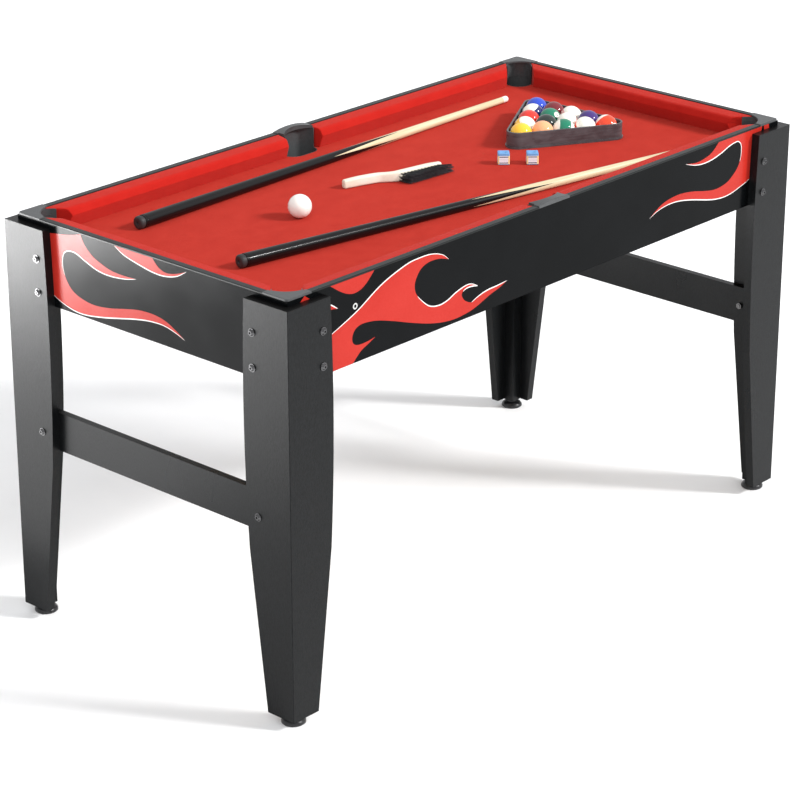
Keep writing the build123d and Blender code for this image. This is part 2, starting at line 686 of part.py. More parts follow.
with BuildPart() as nuts:
    for plane in BOLT_PLANES:
        with BuildSketch(plane.offset(-CLAMPED)):
            RegularPolygon(radius=NUT_ACROSS / 2, side_count=6, major_radius=False)
            Circle(BOLT_RADIUS + STUD_CLEARANCE, mode=Mode.SUBTRACT)
        extrude(amount=-NUT_THICKNESS)
save(nuts, "assembly_nuts")

EYELET_X = -454.8
EYELET_HEIGHT = 634.0
EYELET_RADIUS = 4.9
EYELET_HOLE = 2.6
EYELET_THICKNESS = 0.8
with BuildPart() as apron_eyelet:
    with BuildSketch(Plane(origin=(EYELET_X, -FACE_Y, EYELET_HEIGHT), z_dir=(0, -1, 0))):
        Circle(EYELET_RADIUS)
        Circle(EYELET_HOLE, mode=Mode.SUBTRACT)
    extrude(amount=EYELET_THICKNESS)
save(apron_eyelet, "apron_eyelet")

# ---- cues ---------------------------------------------------------------------------------


def cue(stem, butt_point, aim_point):
    """One cue lying on the cloth, from its butt towards another point of the table."""
    heading = atan2(aim_point[1] - butt_point[1], aim_point[0] - butt_point[0])
    dip = asin((CUE_BUTT_RADIUS - CUE_TIP_RADIUS) / CUE_LENGTH)
    direction = (cos(dip) * cos(heading), cos(dip) * sin(heading), -sin(dip))
    base = (butt_point[0], butt_point[1], REST + CUE_BUTT_RADIUS)
    axis_plane = Plane(origin=base, z_dir=direction)
    taper = (CUE_BUTT_RADIUS - CUE_TIP_RADIUS) / CUE_LENGTH
    stick_end = CUE_LENGTH - FERRULE_LENGTH
    with BuildPart() as bumper:
        with BuildSketch(axis_plane):
            Circle(CUE_BUTT_RADIUS - BUMPER_INSET)
        extrude(amount=BUMPER_LENGTH)
        fillet(bumper.faces().sort_by(Axis.X)[0].edges(), radius=BUMPER_ROUND)
    save(bumper, f"{stem}_bumper")
    with BuildPart() as stick:
        with BuildSketch(axis_plane.offset(BUMPER_LENGTH)):
            Circle(CUE_BUTT_RADIUS - taper * BUMPER_LENGTH)
        with BuildSketch(axis_plane.offset(stick_end)):
            Circle(CUE_BUTT_RADIUS - taper * stick_end)
        loft()
    save(stick, f"{stem}_stick")
    with BuildPart() as ferrule:
        with BuildSketch(axis_plane.offset(stick_end)):
            Circle(CUE_BUTT_RADIUS - taper * stick_end)
        extrude(amount=FERRULE_LENGTH)
        fillet(ferrule.faces().sort_by(Axis.X)[-1].edges(), radius=FERRULE_ROUND)
    save(ferrule, f"{stem}_ferrule")


cue("far_cue", (-458.0, 168.0), (457.0, 194.5))
cue("near_cue", (-477.6, -73.3), (396.2, -217.6))

# ---- balls and rack -----------------------------------------------------------------------

BALL_HEIGHT = REST + BALL_RADIUS
with BuildPart() as cue_ball:
    with Locations((-246.8, 22.9, BALL_HEIGHT)):
        Sphere(BALL_RADIUS)
save(cue_ball, "cue_ball")

ROW_STEP = BALL_PITCH * sqrt(3) / 2
ROWS = 5
with BuildPart() as object_balls:
    for row in range(ROWS):
        for place in range(row + 1):
            ball_y = RACK_MIDDLE_Y + (place - row / 2) * BALL_PITCH
            with Locations((RACK_APEX_X + row * ROW_STEP, ball_y, BALL_HEIGHT)):
                Sphere(BALL_RADIUS)
save(object_balls, "object_balls")

RACK_BASE_X = RACK_APEX_X + (ROWS - 1) * ROW_STEP
RACK_HALF = (ROWS - 1) * BALL_PITCH / 2
RACK_INSIDE = BALL_RADIUS + RACK_CLEARANCE
RACK_OUTSIDE = RACK_INSIDE + RACK_WALL


def rack_outline(reach):
    """Triangle through the corner balls' centres, grown and then rounded at its corners."""
    with BuildSketch() as outline:
        with BuildLine():
            Polyline(
                (RACK_APEX_X, RACK_MIDDLE_Y),
                (RACK_BASE_X, RACK_MIDDLE_Y - RACK_HALF),
                (RACK_BASE_X, RACK_MIDDLE_Y + RACK_HALF),
                close=True,
            )
        make_face()
        offset(amount=reach, kind=Kind.INTERSECTION)
        fillet(outline.vertices(), radius=RACK_CORNER + reach - RACK_INSIDE)
    return outline.sketch


with BuildPart() as rack:
    with BuildSketch(Plane.XY.offset(REST)):
        add(rack_outline(RACK_OUTSIDE))
        add(rack_outline(RACK_INSIDE), mode=Mode.SUBTRACT)
    extrude(amount=RACK_HEIGHT)
    fillet(rack.faces().sort_by(Axis.Z)[-1].edges(), radius=RACK_ROUND)
    with BuildSketch(Plane.XY.offset(REST)):
        add(rack_outline(RACK_OUTSIDE + RACK_FOOT_WIDTH))
        add(rack_outline(RACK_INSIDE), mode=Mode.SUBTRACT)
    extrude(amount=RACK_FOOT_HEIGHT)
save(rack, "rack")

# ---- brush and chalks ---------------------------------------------------------------------

BRUSH_BUTT = (-94.0, 71.5)
BRUSH_BEND = (-30.0, 52.0)
BRUSH_WAIST = (-14.0, 33.5)
BRUSH_TIP = (77.0, 18.0)
BRUSH_HEIGHT = 18.0
GRIP_HEIGHT = 16.0
BRUSH_BACK = 11.0
BRISTLE_LIFT = 1.0  # above the handle's lower face
BRISTLE_MARGIN = 3.0  # from each end of the head
BRISTLE_START = (-35.0, -29.0)  # ends of the swept bristles, along and across the head's middle
BRISTLE_STOP = (62.0, -19.0)
brush_angle = degrees(atan2(BRUSH_TIP[1] - BRUSH_WAIST[1], BRUSH_TIP[0] - BRUSH_WAIST[0]))
HEAD_LENGTH = sqrt((BRUSH_TIP[0] - BRUSH_WAIST[0]) ** 2 + (BRUSH_TIP[1] - BRUSH_WAIST[1]) ** 2)
HEAD_MIDDLE = ((BRUSH_TIP[0] + BRUSH_WAIST[0]) / 2, (BRUSH_TIP[1] + BRUSH_WAIST[1]) / 2)

with BuildPart() as brush_handle:
    with BuildSketch(Plane.XY.offset(REST)):
        with BuildLine():
            Polyline(BRUSH_BUTT, BRUSH_BEND, BRUSH_WAIST)
        trace(line_width=BRUSH_BACK)
    extrude(amount=GRIP_HEIGHT)
    with BuildSketch(Plane.XY.offset(REST)):
        with BuildLine():
            Line(BRUSH_WAIST, BRUSH_TIP)
        trace(line_width=BRUSH_BACK)
    extrude(amount=BRUSH_HEIGHT)
save(brush_handle, "brush_handle")

BRISTLE_PLANE = Plane(
    origin=(HEAD_MIDDLE[0], HEAD_MIDDLE[1], REST + BRISTLE_LIFT),
    x_dir=(cos(radians(brush_angle)), sin(radians(brush_angle)), 0),
    z_dir=(0, 0, 1),
)
ROOT_REACH = HEAD_LENGTH / 2 - BRISTLE_MARGIN
with BuildPart() as brush_bristles:
    with BuildSketch(BRISTLE_PLANE):
        with BuildLine():
            Polyline(
                (-ROOT_REACH, -BRUSH_BACK / 2),
                BRISTLE_START,
                BRISTLE_STOP,
                (ROOT_REACH, -BRUSH_BACK / 2),
                close=True,
            )
        make_face()
    extrude(amount=BRUSH_HEIGHT - 2 * BRISTLE_LIFT)
save(brush_bristles, "brush_bristles")

for chalk_name, chalk_x, chalk_y in (("chalk_left", 179.5, -32.5), ("chalk_right", 212.5, -67.0)):
    chalk_plane = Plane(
        origin=(chalk_x, chalk_y, REST),
        x_dir=(cos(radians(CHALK_TURN)), sin(radians(CHALK_TURN)), 0),
        z_dir=(0, 0, 1),
    )
    with BuildPart() as chalk:
        with BuildSketch(chalk_plane):
            Rectangle(CHALK_SIZE, CHALK_SIZE)
        extrude(amount=CHALK_SIZE)
        with BuildSketch(chalk_plane.offset(CHALK_SIZE)):
            Circle(CHALK_HOLLOW_RADIUS)
        extrude(amount=-CHALK_HOLLOW_DEPTH, mode=Mode.SUBTRACT)
    save(chalk, chalk_name)
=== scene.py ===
"""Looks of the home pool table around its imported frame.

The frame's origin is on the floor under the middle of the table: +X along it, +Y across it, +Z up.
Lengths whose names end in _MM, and the points of the flame film, are in millimetres.
"""

import math
from random import Random

import bmesh
import bpy
from mathutils import Matrix, Vector, noise
from mathutils.geometry import delaunay_2d_cdt


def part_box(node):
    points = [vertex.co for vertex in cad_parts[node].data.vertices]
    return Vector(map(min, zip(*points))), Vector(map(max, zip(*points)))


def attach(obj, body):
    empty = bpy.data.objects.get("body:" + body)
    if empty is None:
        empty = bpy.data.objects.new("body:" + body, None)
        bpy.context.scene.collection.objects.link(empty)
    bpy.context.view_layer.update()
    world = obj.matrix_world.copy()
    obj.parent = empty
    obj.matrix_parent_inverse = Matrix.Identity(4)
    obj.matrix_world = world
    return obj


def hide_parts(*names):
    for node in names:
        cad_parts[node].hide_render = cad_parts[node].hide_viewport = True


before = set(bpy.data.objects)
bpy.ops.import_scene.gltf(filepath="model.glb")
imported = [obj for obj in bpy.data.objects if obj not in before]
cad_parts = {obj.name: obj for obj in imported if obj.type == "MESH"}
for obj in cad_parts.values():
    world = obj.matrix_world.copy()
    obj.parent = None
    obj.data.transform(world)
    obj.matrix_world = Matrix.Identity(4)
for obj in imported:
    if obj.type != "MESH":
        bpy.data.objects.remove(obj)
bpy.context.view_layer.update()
MM = 0.001

# ---- dimensions shared with the part ----

FACE_X = 594.5 * MM  # outer face of an end apron
FACE_Y = 289.0 * MM  # outer face of a side apron
APRON_BOARD = 12.0 * MM
RAIL_TOP = 681.0 * MM
BED_TOP = 645.0 * MM
CLOTH = 1.0 * MM
NOSE_REACH = 41.5 * MM  # of a cushion's nose, in from the apron's outer face
POCKET_INSET = 35.0 * MM  # of a corner pocket's middle, in from both faces
POCKET_OUTER = 23.0 * MM  # outside radius of a corner pocket's wall
POCKET_GAP = 0.3 * MM
SIDE_INSET = 24.5 * MM
SIDE_HALF = 34.5 * MM  # half length of a side pocket's outside
SIDE_WIDTH = 21.5 * MM  # half width of it
MOUTH_OFFSET = math.sqrt(2) * (POCKET_OUTER + POCKET_GAP)
SIDE_MOUTH = 35.1 * MM  # where a cushion ends beside a side pocket, at the apron
MOUTH_FLARE = 5.0 * MM  # how much further off it ends at its nose
BAND_EDGE = (9.3 * MM, 9.6 * MM)  # of a striped ball's band, from the middle
SPOT_EDGE = (5.4 * MM, 5.6 * MM)  # of the white spot at a ball's number, from its axis
PAPER_LOW_MM, PAPER_HIGH_MM = 1.5, 15.5  # of the wrap round a chalk


# ---- node materials ----


def node(tree, kind, inputs=None, **settings):
    """One shader node, with its settings and its inputs, each a value or a socket to link."""
    made = tree.nodes.new("ShaderNode" + kind)
    for key, value in settings.items():
        setattr(made, key, value)
    for key, value in (inputs or {}).items():
        if isinstance(value, bpy.types.NodeSocket):
            tree.links.new(value, made.inputs[key])
        else:
            made.inputs[key].default_value = value
    return made


def blank(name, sockets):
    """A material, its Principled shader with its uniform values, and its object coordinates."""
    material = bpy.data.materials.new(name)
    material.use_nodes = True
    tree = material.node_tree
    shader = tree.nodes["Principled BSDF"]
    for key, value in sockets.items():
        shader.inputs[key].default_value = value
    return material, tree, shader, node(tree, "TexCoord").outputs["Object"]


def wire(tree, shader, colour, roughness, normal):
    """Link what varies over the surface to the shader."""
    for key, value in (("Base Color", colour), ("Roughness", roughness), ("Normal", normal)):
        tree.links.new(value, shader.inputs[key])


def maths(tree, operation, *values):
    """Result of one operation on its values."""
    return node(tree, "Math", dict(enumerate(values)), operation=operation).outputs["Value"]


def speckle(tree, place, scale, detail=3.0, roughness=0.6):
    """Noise in features per metre: one number for every axis, or three."""
    scales = scale if isinstance(scale, tuple) else (scale,) * 3
    stretched = node(tree, "Mapping", {"Vector": place, "Scale": scales}).outputs["Vector"]
    inputs = {"Vector": stretched, "Scale": 1.0, "Detail": detail, "Roughness": roughness}
    return node(tree, "TexNoise", inputs).outputs["Fac"]


def blend_colour(tree, share, first, second):
    """Colour that goes from first to second with share."""
    mixed = node(tree, "Mix", {0: share, 6: first, 7: second}, data_type="RGBA")
    return mixed.outputs[2]


def spread(tree, value, low, high, to_low, to_high):
    """Value moved from one range to another, held inside it."""
    inputs = {"Value": value, 1: low, 2: high, 3: to_low, 4: to_high}
    return node(tree, "MapRange", inputs).outputs["Result"]


def raised(tree, height, depth, normal=None):
    """Normal of a bump that is depth metres high."""
    inputs = {"Height": height, "Strength": 1.0, "Distance": depth}
    if normal is not None:
        inputs["Normal"] = normal
    return node(tree, "Bump", inputs).outputs["Normal"]


def opaque(colour):
    """A colour with its alpha."""
    return (*colour, 1.0)


def textured(name, dark, light, grain, rough, fine, depth, blotch=9.0, shine=0.5, metallic=0.0):
    """Finish with a grain in its colour, a wandering roughness and a fine bump.

    grain, fine and blotch are features per metre, rough is a range, depth is in metres.
    """
    sockets = {"Specular IOR Level": shine, "Metallic": metallic}
    material, tree, shader, place = blank(name, sockets)
    grained = spread(tree, speckle(tree, place, grain, 5.0), 0.3, 0.7, 0.0, 1.0)
    cloudy = spread(tree, speckle(tree, place, blotch, 2.0), 0.35, 0.65, 0.0, 1.0)
    share = maths(tree, "MULTIPLY", maths(tree, "ADD", grained, cloudy), 0.5)
    colour = blend_colour(tree, share, opaque(dark), opaque(light))
    bumped = raised(tree, speckle(tree, place, fine, 3.0), depth)
    wire(tree, shader, colour, spread(tree, share, 0.2, 0.8, *rough), bumped)
    return material


def laminate(name, dark, light, rough):
    """Black paper laminate on board: pores along the height, fine pimples, darker taped edges."""
    material, tree, shader, place = blank(name, {"Specular IOR Level": 0.165})
    pores = spread(tree, speckle(tree, place, (900, 900, 220), 4.0), 0.4, 0.62, 0.0, 1.0)
    pimples = speckle(tree, place, 1500, 2.0)
    cloudy = spread(tree, speckle(tree, place, (7, 7, 3), 3.0), 0.3, 0.7, 0.0, 1.0)
    face = blend_colour(tree, pores, opaque(dark), opaque(light))
    normal = node(tree, "NewGeometry").outputs["Normal"]
    upward = node(tree, "SeparateXYZ", {"Vector": normal}).outputs["Z"]
    taped = spread(tree, maths(tree, "ABSOLUTE", upward), 0.6, 0.9, 0.0, 1.0)
    colour = blend_colour(tree, taped, face, (0.003, 0.003, 0.003, 1.0))
    bumped = raised(tree, pores, 0.00004, raised(tree, pimples, 0.00005))
    wire(tree, shader, colour, spread(tree, cloudy, 0.0, 1.0, *rough), bumped)
    return material


def felt(name, deep, lit, sheen):
    """Napped cloth: short fibres every way, a faint weave under them and a soft sheen."""
    sockets = {
        "Sheen Weight": sheen,
        "Sheen Roughness": 0.45,
        "Sheen Tint": (1.0, 0.40, 0.34, 1.0),
        "Specular IOR Level": 0.04,
    }
    material, tree, shader, place = blank(name, sockets)
    fibres = spread(tree, speckle(tree, place, 1300, 5.0, 0.7), 0.34, 0.66, 0.0, 1.0)
    nap = spread(tree, speckle(tree, place, (26, 38, 30), 4.0), 0.3, 0.7, 0.0, 1.0)
    both = maths(tree, "ADD", fibres, maths(tree, "MULTIPLY", nap, 0.45))
    colour = blend_colour(tree, spread(tree, both, 0.0, 1.45, 0.0, 1.0), opaque(deep), opaque(lit))
    weave = speckle(tree, place, (700, 250, 700), 2.0)
    bumped = raised(tree, fibres, 0.00022, raised(tree, weave, 0.00012))
    wire(tree, shader, colour, spread(tree, fibres, 0.0, 1.0, 0.86, 0.98), bumped)
    return material


def cue_shaft(name, dark, light, coat, shine):
    """Wood turned to a rod, with its grain along the local X axis, under lacquer."""
    sockets = {"Coat Weight": coat, "Coat Roughness": 0.11, "Specular IOR Level": shine}
    material, tree, shader, place = blank(name, sockets)
    streaks = spread(tree, speckle(tree, place, (9, 420, 420), 4.0), 0.35, 0.65, 0.0, 1.0)
    colour = blend_colour(tree, streaks, opaque(dark), opaque(light))
    bumped = raised(tree, speckle(tree, place, (30, 900, 900), 3.0), 0.00003)
    wire(tree, shader, colour, spread(tree, streaks, 0.0, 1.0, 0.42, 0.3), bumped)
    return material


def ball_resin(name, colour, striped, spotted, turn):
    """Cast resin ball: solid or with a broad band on ivory, and a white spot at both ends of X.

    The pattern is turned with the ball's own mesh.
    """
    sockets = {"Coat Weight": 0.3, "Coat Roughness": 0.06, "Specular IOR Level": 0.45}
    material, tree, shader, place = blank(name, sockets)
    inputs = {"Vector": place, "Rotation": tuple(turn.to_euler())}
    place = node(tree, "Mapping", inputs, vector_type="TEXTURE").outputs["Vector"]
    ivory = (0.86, 0.83, 0.74, 1.0)
    parts = node(tree, "SeparateXYZ", {"Vector": place}).outputs
    paint = opaque(colour)
    if striped:
        height = maths(tree, "ABSOLUTE", parts["Z"])
        paint = blend_colour(tree, spread(tree, height, *BAND_EDGE, 0, 1), paint, ivory)
    if spotted:
        across = node(tree, "CombineXYZ", {"Y": parts["Y"], "Z": parts["Z"]}).outputs["Vector"]
        reach = node(tree, "VectorMath", {0: across}, operation="LENGTH").outputs["Value"]
        paint = blend_colour(tree, spread(tree, reach, *SPOT_EDGE, 0, 1), ivory, paint)
    tint = speckle(tree, place, 90, 3.0)
    shade = spread(tree, tint, 0.3, 0.7, 0.0, 0.05)
    colour = blend_colour(tree, shade, paint, (0.1, 0.09, 0.08, 1))
    roughness = spread(tree, tint, 0.3, 0.7, 0.1, 0.2)
    wire(tree, shader, colour, roughness, raised(tree, tint, 0.00001))
    return material


def chalk_paper(name):
    """Printed paper round a chalk: bands on a pale field, with straw-coloured corners."""
    material, tree, shader, place = blank(name, {"Specular IOR Level": 0.3})
    parts = node(tree, "SeparateXYZ", {"Vector": place}).outputs
    height = spread(tree, parts["Z"], PAPER_LOW_MM * MM, PAPER_HIGH_MM * MM, 0, 1)
    ramp = node(tree, "ValToRGB", {"Fac": height})
    ramp.color_ramp.interpolation = "CONSTANT"
    pale, grey, dark = (0.78, 0.79, 0.82, 1), (0.42, 0.45, 0.52, 1), (0.05, 0.06, 0.09, 1)
    stops = [(0.0, pale), (0.08, dark), (0.2, pale), (0.38, grey), (0.42, pale), (0.58, grey)]
    stops += [(0.62, pale), (0.8, dark), (0.92, pale)]
    elements = ramp.color_ramp.elements
    elements[0].color = stops[0][1]
    elements.remove(elements[1])
    for position, colour in stops[1:]:
        elements.new(position).color = colour
    nearer = maths(tree, "MINIMUM", *(maths(tree, "ABSOLUTE", parts[axis]) for axis in "XY"))
    corner = spread(tree, nearer, 7.2 * MM, 7.5 * MM, 0, 1)
    printed = blend_colour(tree, corner, ramp.outputs["Color"], (0.80, 0.62, 0.26, 1))
    worn = spread(tree, speckle(tree, place, 500, 3.0), 0.5, 0.75, 0.0, 0.4)
    dusty = blend_colour(tree, worn, printed, (0.45, 0.6, 0.8, 1))
    roughness = spread(tree, worn, 0.0, 0.4, 0.5, 0.8)
    wire(tree, shader, dusty, roughness, raised(tree, worn, 0.00005))
    return material


LEG = laminate("leg_laminate", (0.0025, 0.0028, 0.003), (0.007, 0.0078, 0.0085), (0.26, 0.34))
FILM = textured(
    "apron_film", (0.001, 0.0013, 0.0015), (0.003, 0.0035, 0.004), 500, (0.16, 0.23), 1400, 0.00002,
    shine=0.06,
)
FLAME = textured(
    "flame_film", (0.35, 0.016, 0.010), (0.40, 0.024, 0.016), 300, (0.18, 0.26), 1400, 0.00002,
    shine=0.12,
)
OUTLINE = textured(
    "outline_film", (0.60, 0.58, 0.56), (0.72, 0.70, 0.68), 300, (0.18, 0.26), 1400, 0.00002,
    shine=0.13,
)
TRIM = textured(
    "trim_plastic", (0.004, 0.005, 0.005), (0.010, 0.012, 0.012), (60, 60, 900), (0.26, 0.38),
    (40, 40, 1600), 0.00004, shine=0.2,
)
POCKET = textured(
    "pocket_plastic", (0.038, 0.040, 0.041), (0.068, 0.071, 0.073), 200, (0.28, 0.44), 1100,
    0.00010, shine=0.35,
)
RACK = textured(
    "rack_plastic", (0.030, 0.030, 0.033), (0.090, 0.089, 0.095), (30, 30, 260), (0.18, 0.40),
    (60, 60, 500), 0.00008, blotch=30.0,
)
PAD = textured(
    "foot_rubber", (0.006, 0.006, 0.007), (0.014, 0.014, 0.015), 300, (0.25, 0.4), 900, 0.00005,
)
BUMPER = textured(
    "bumper_rubber", (0.01, 0.01, 0.01), (0.03, 0.03, 0.032), 400, (0.4, 0.6), 1200, 0.00008,
)
BLACK_STEEL = textured(
    "black_steel", (0.07, 0.07, 0.072), (0.15, 0.15, 0.152), 700, (0.14, 0.22), 1800, 0.00003,
    metallic=0.9,
)
ZINC = textured(
    "zinc_steel", (0.5, 0.5, 0.48), (0.68, 0.68, 0.66), 250, (0.25, 0.45), 900, 0.00003,
    metallic=1.0,
)
NICKEL = textured(
    "nickel", (0.62, 0.62, 0.6), (0.78, 0.78, 0.76), 500, (0.15, 0.3), 1500, 0.00002, metallic=1.0,
)
PINE = textured(
    "raw_wood", (0.42, 0.26, 0.12), (0.66, 0.48, 0.28), (240, 240, 12), (0.6, 0.8), (900, 900, 90),
    0.0002,
)
FIBREBOARD = textured(
    "fibreboard", (0.22, 0.13, 0.06), (0.42, 0.28, 0.15), 800, (0.7, 0.9), 1500, 0.0002,
)
FELT = felt("bed_felt", (0.33, 0.017, 0.011), (0.46, 0.034, 0.022), 0.06)
CUSHION_FELT = felt("cushion_felt", (0.34, 0.008, 0.006), (0.46, 0.018, 0.012), 0.18)
MAPLE = cue_shaft("maple", (0.50, 0.41, 0.24), (0.65, 0.57, 0.39), 0.4, 0.4)
EBONY = cue_shaft("black_lacquer", (0.002, 0.002, 0.0025), (0.005, 0.005, 0.005), 0.4, 0.08)
FERRULE = textured(
    "ferrule_plastic", (0.70, 0.68, 0.62), (0.84, 0.83, 0.79), 300, (0.2, 0.35), 900, 0.00003,
)
BRUSH_WOOD = textured(
    "brush_wood", (0.60, 0.55, 0.43), (0.74, 0.71, 0.62), (12, 300, 300), (0.35, 0.5),
    (60, 900, 900), 0.00006,
)
HAIR = textured(
    "brush_hair", (0.008, 0.009, 0.010), (0.040, 0.042, 0.048), 600, (0.35, 0.5), 1500, 0.00003,
)
CHALK = textured("chalk", (0.10, 0.25, 0.50), (0.18, 0.36, 0.62), 500, (0.85, 0.98), 1200, 0.0003)
PAPER = chalk_paper("chalk_paper")

NODE_LOOKS = {
    "leg_": LEG,
    "foot_pad": PAD,
    "foot_stud": ZINC,
    "stretcher": LEG,
    "apron_": FILM,
    "apron_eyelet": NICKEL,
    "rail_trim": TRIM,
    "rail_cores": PINE,
    "bed_panel": FIBREBOARD,
    "bed_braces": FIBREBOARD,
    "bed_cleats": PINE,
    "corner_pocket": POCKET,
    "side_pocket": POCKET,
    "assembly_bolts": BLACK_STEEL,
    "assembly_washers": BLACK_STEEL,
    "assembly_nuts": BLACK_STEEL,
    "rack": RACK,
}


def dress_nodes():
    """Give each kept node the material of the longest name that starts its own."""
    for name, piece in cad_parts.items():
        starts = [start for start in NODE_LOOKS if name.startswith(start)]
        if starts:
            piece.data.materials.clear()
            piece.data.materials.append(NODE_LOOKS[max(starts, key=len)])


# ---- mesh helpers ----


def piece_from(mesh_code, name, body, materials, smooth=True):
    """New object from a bmesh, riding on a body and materials."""
    bmesh.ops.remove_doubles(mesh_code, verts=mesh_code.verts, dist=1e-7)
    bmesh.ops.recalc_face_normals(mesh_code, faces=mesh_code.faces)
    data = bpy.data.meshes.new(name)
    mesh_code.to_mesh(data)
    mesh_code.free()
    for material in materials:
        data.materials.append(material)
    piece = bpy.data.objects.new(name, data)
    bpy.context.scene.collection.objects.link(piece)
    if smooth:
        data.shade_smooth()
    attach(piece, body)
    return piece


def place_at(piece, matrix, body):
    """Move a piece that was built round its own origin, and ride it there."""
    piece.parent = None
    piece.matrix_world = matrix
    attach(piece, body)


def keep_creases(piece, degrees):
    """Sharp shading where two faces meet at more than this angle."""
    mesh_code = bmesh.new()
    mesh_code.from_mesh(piece.data)
    for edge in mesh_code.edges:
        if len(edge.link_faces) == 2 and edge.calc_face_angle() > math.radians(degrees):
            edge.smooth = False
    mesh_code.to_mesh(piece.data)
    mesh_code.free()


def skin(mesh_code, rings, closed_ends=True, material=0):
    """Quads between rings of the same number of points, with a face at each end."""
    rows = [[mesh_code.verts.new(point) for point in ring] for ring in rings]
    count = len(rows[0])
    for low, high in zip(rows, rows[1:]):
        for i in range(count):
            j = (i + 1) % count
            mesh_code.faces.new((low[i], low[j], high[j], high[i])).material_index = material
    if closed_ends:
        mesh_code.faces.new(list(reversed(rows[0]))).material_index = material
        mesh_code.faces.new(rows[-1]).material_index = material


def plate(mesh_code, outline, low, high, to_space, step=None, material=0):
    """Closed plate over a flat outline, from height low to high, placed by to_space(u, v, height).

    With a step, points on a grid of that spacing are added inside the outline.
    """
    points = [Vector(p) for p in outline]
    if step:
        u_low, u_high = min(p.x for p in points), max(p.x for p in points)
        v_low, v_high = min(p.y for p in points), max(p.y for p in points)
        for i in range(1, int((u_high - u_low) / step)):
            for j in range(1, int((v_high - v_low) / step)):
                points.append(Vector((u_low + i * step, v_low + j * step)))
    face = list(range(len(outline)))
    made = delaunay_2d_cdt(points, [], [face], 1, 1e-7)
    flat, triangles = made[0], made[2]
    used = {}
    for triangle in triangles:
        for i in range(3):
            pair = (triangle[i], triangle[(i + 1) % 3])
            key = tuple(sorted(pair))
            used[key] = None if key in used else pair
    needed = sorted({i for triangle in triangles for i in triangle})
    top = {i: mesh_code.verts.new(to_space(*flat[i], high)) for i in needed}
    base = {i: mesh_code.verts.new(to_space(*flat[i], low)) for i in needed}
    for triangle in triangles:
        mesh_code.faces.new([top[i] for i in triangle]).material_index = material
        mesh_code.faces.new([base[i] for i in reversed(triangle)]).material_index = material
    for pair in used.values():
        if pair:
            i, j = pair
            rim = mesh_code.faces.new((top[j], top[i], base[i], base[j]))
            rim.material_index = material


def through(points, steps=8):
    """Smooth open curve through the points, as a Catmull-Rom spline."""
    ends = [points[0], *points, points[-1]]
    made = []
    for a, b, c, d in zip(ends, ends[1:], ends[2:], ends[3:]):
        a, b, c, d = (Vector(p) for p in (a, b, c, d))
        for i in range(steps):
            t = i / steps
            part = 2 * b + (c - a) * t + (2 * a - 5 * b + 4 * c - d) * t * t
            made.append((part + (3 * b - a - 3 * c + d) * t**3) / 2)
    made.append(Vector(points[-1]))
    return made


def arc(centre, radius, start, stop, steps):
    """Points of an arc, angles in degrees."""
    made = []
    for i in range(steps + 1):
        angle = math.radians(start + (stop - start) * i / steps)
        made.append((centre[0] + radius * math.cos(angle), centre[1] + radius * math.sin(angle)))
    return made


def rounded(before, corner, after, radius, steps=6):
    """Points of a fillet at a corner between two straight edges."""
    corner, before, after = Vector(corner), Vector(before), Vector(after)
    one, two = (before - corner).normalized(), (after - corner).normalized()
    half = one.angle(two) / 2
    centre = corner + (one + two).normalized() * radius / math.sin(half)
    first = corner + one * radius / math.tan(half) - centre
    last = corner + two * radius / math.tan(half) - centre
    made = []
    for i in range(steps + 1):
        between = first.lerp(last, i / steps)
        made.append(tuple(centre + between.normalized() * radius))
    return made


# ---- bed cloth ----

CLOTH_GRID = 14 * MM
CLOTH_DIP = 0.00006  # mean depth of its unevenness


def cloth_outline():
    """Bed outline with a notch at every pocket, anticlockwise."""
    inside_x, inside_y = FACE_X - APRON_BOARD, FACE_Y - APRON_BOARD
    centre_x, centre_y = FACE_X - POCKET_INSET, FACE_Y - POCKET_INSET
    notch = POCKET_OUTER + POCKET_GAP
    side_y = FACE_Y - SIDE_INSET
    side_x, side_r = SIDE_HALF + POCKET_GAP, SIDE_WIDTH + POCKET_GAP
    reach_y = centre_y - math.sqrt(max(notch**2 - (inside_x - centre_x) ** 2, 0.0))
    quarter = [(inside_x, 0.0), (inside_x, reach_y)]
    start = math.degrees(math.atan2(reach_y - centre_y, inside_x - centre_x))
    reach_x = centre_x - math.sqrt(max(notch**2 - (inside_y - centre_y) ** 2, 0.0))
    stop = math.degrees(math.atan2(inside_y - centre_y, reach_x - centre_x))
    quarter += arc((centre_x, centre_y), notch, start, stop - 360, 20)[1:]
    quarter.append((side_x, inside_y))
    quarter += arc((side_x - side_r, side_y), side_r, 0, -90, 8)
    mirrored = [(-x, y) for x, y in reversed(quarter)]
    upper = quarter + mirrored
    lower = [(-x, -y) for x, y in upper]
    outline = []
    for point in upper + lower:
        if not outline or (Vector(point) - Vector(outline[-1])).length > 1e-6:
            outline.append(point)
    if (Vector(outline[0]) - Vector(outline[-1])).length < 1e-6:
        outline.pop()
    return outline


def build_cloth():
    """The bed cloth, stretched over the panel with a very slight unevenness."""

    def over_bed(x, y, height):
        dip = CLOTH_DIP * (1 + noise.noise(Vector((x * 14, y * 14, 0.3)))) if height > 0 else 0.0
        return (x, y, BED_TOP - CLOTH + height - dip)

    mesh_code = bmesh.new()
    plate(mesh_code, cloth_outline(), 0.0, CLOTH, over_bed, step=CLOTH_GRID)
    cloth = piece_from(mesh_code, "cloth_sheet", "table", [FELT])
    keep_creases(cloth, 50)
    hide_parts("bed_cloth")


# ---- cushions ----

RING_STEP = 9 * MM
END_FOLD = 1.6 * MM  # radius of the cloth where it goes round an end
FOLD_STEPS = 4
PUFF = 0.00012  # of the cloth off the rubber
SECTION_MIDDLE = Vector((25.0 * MM, -19.0 * MM))


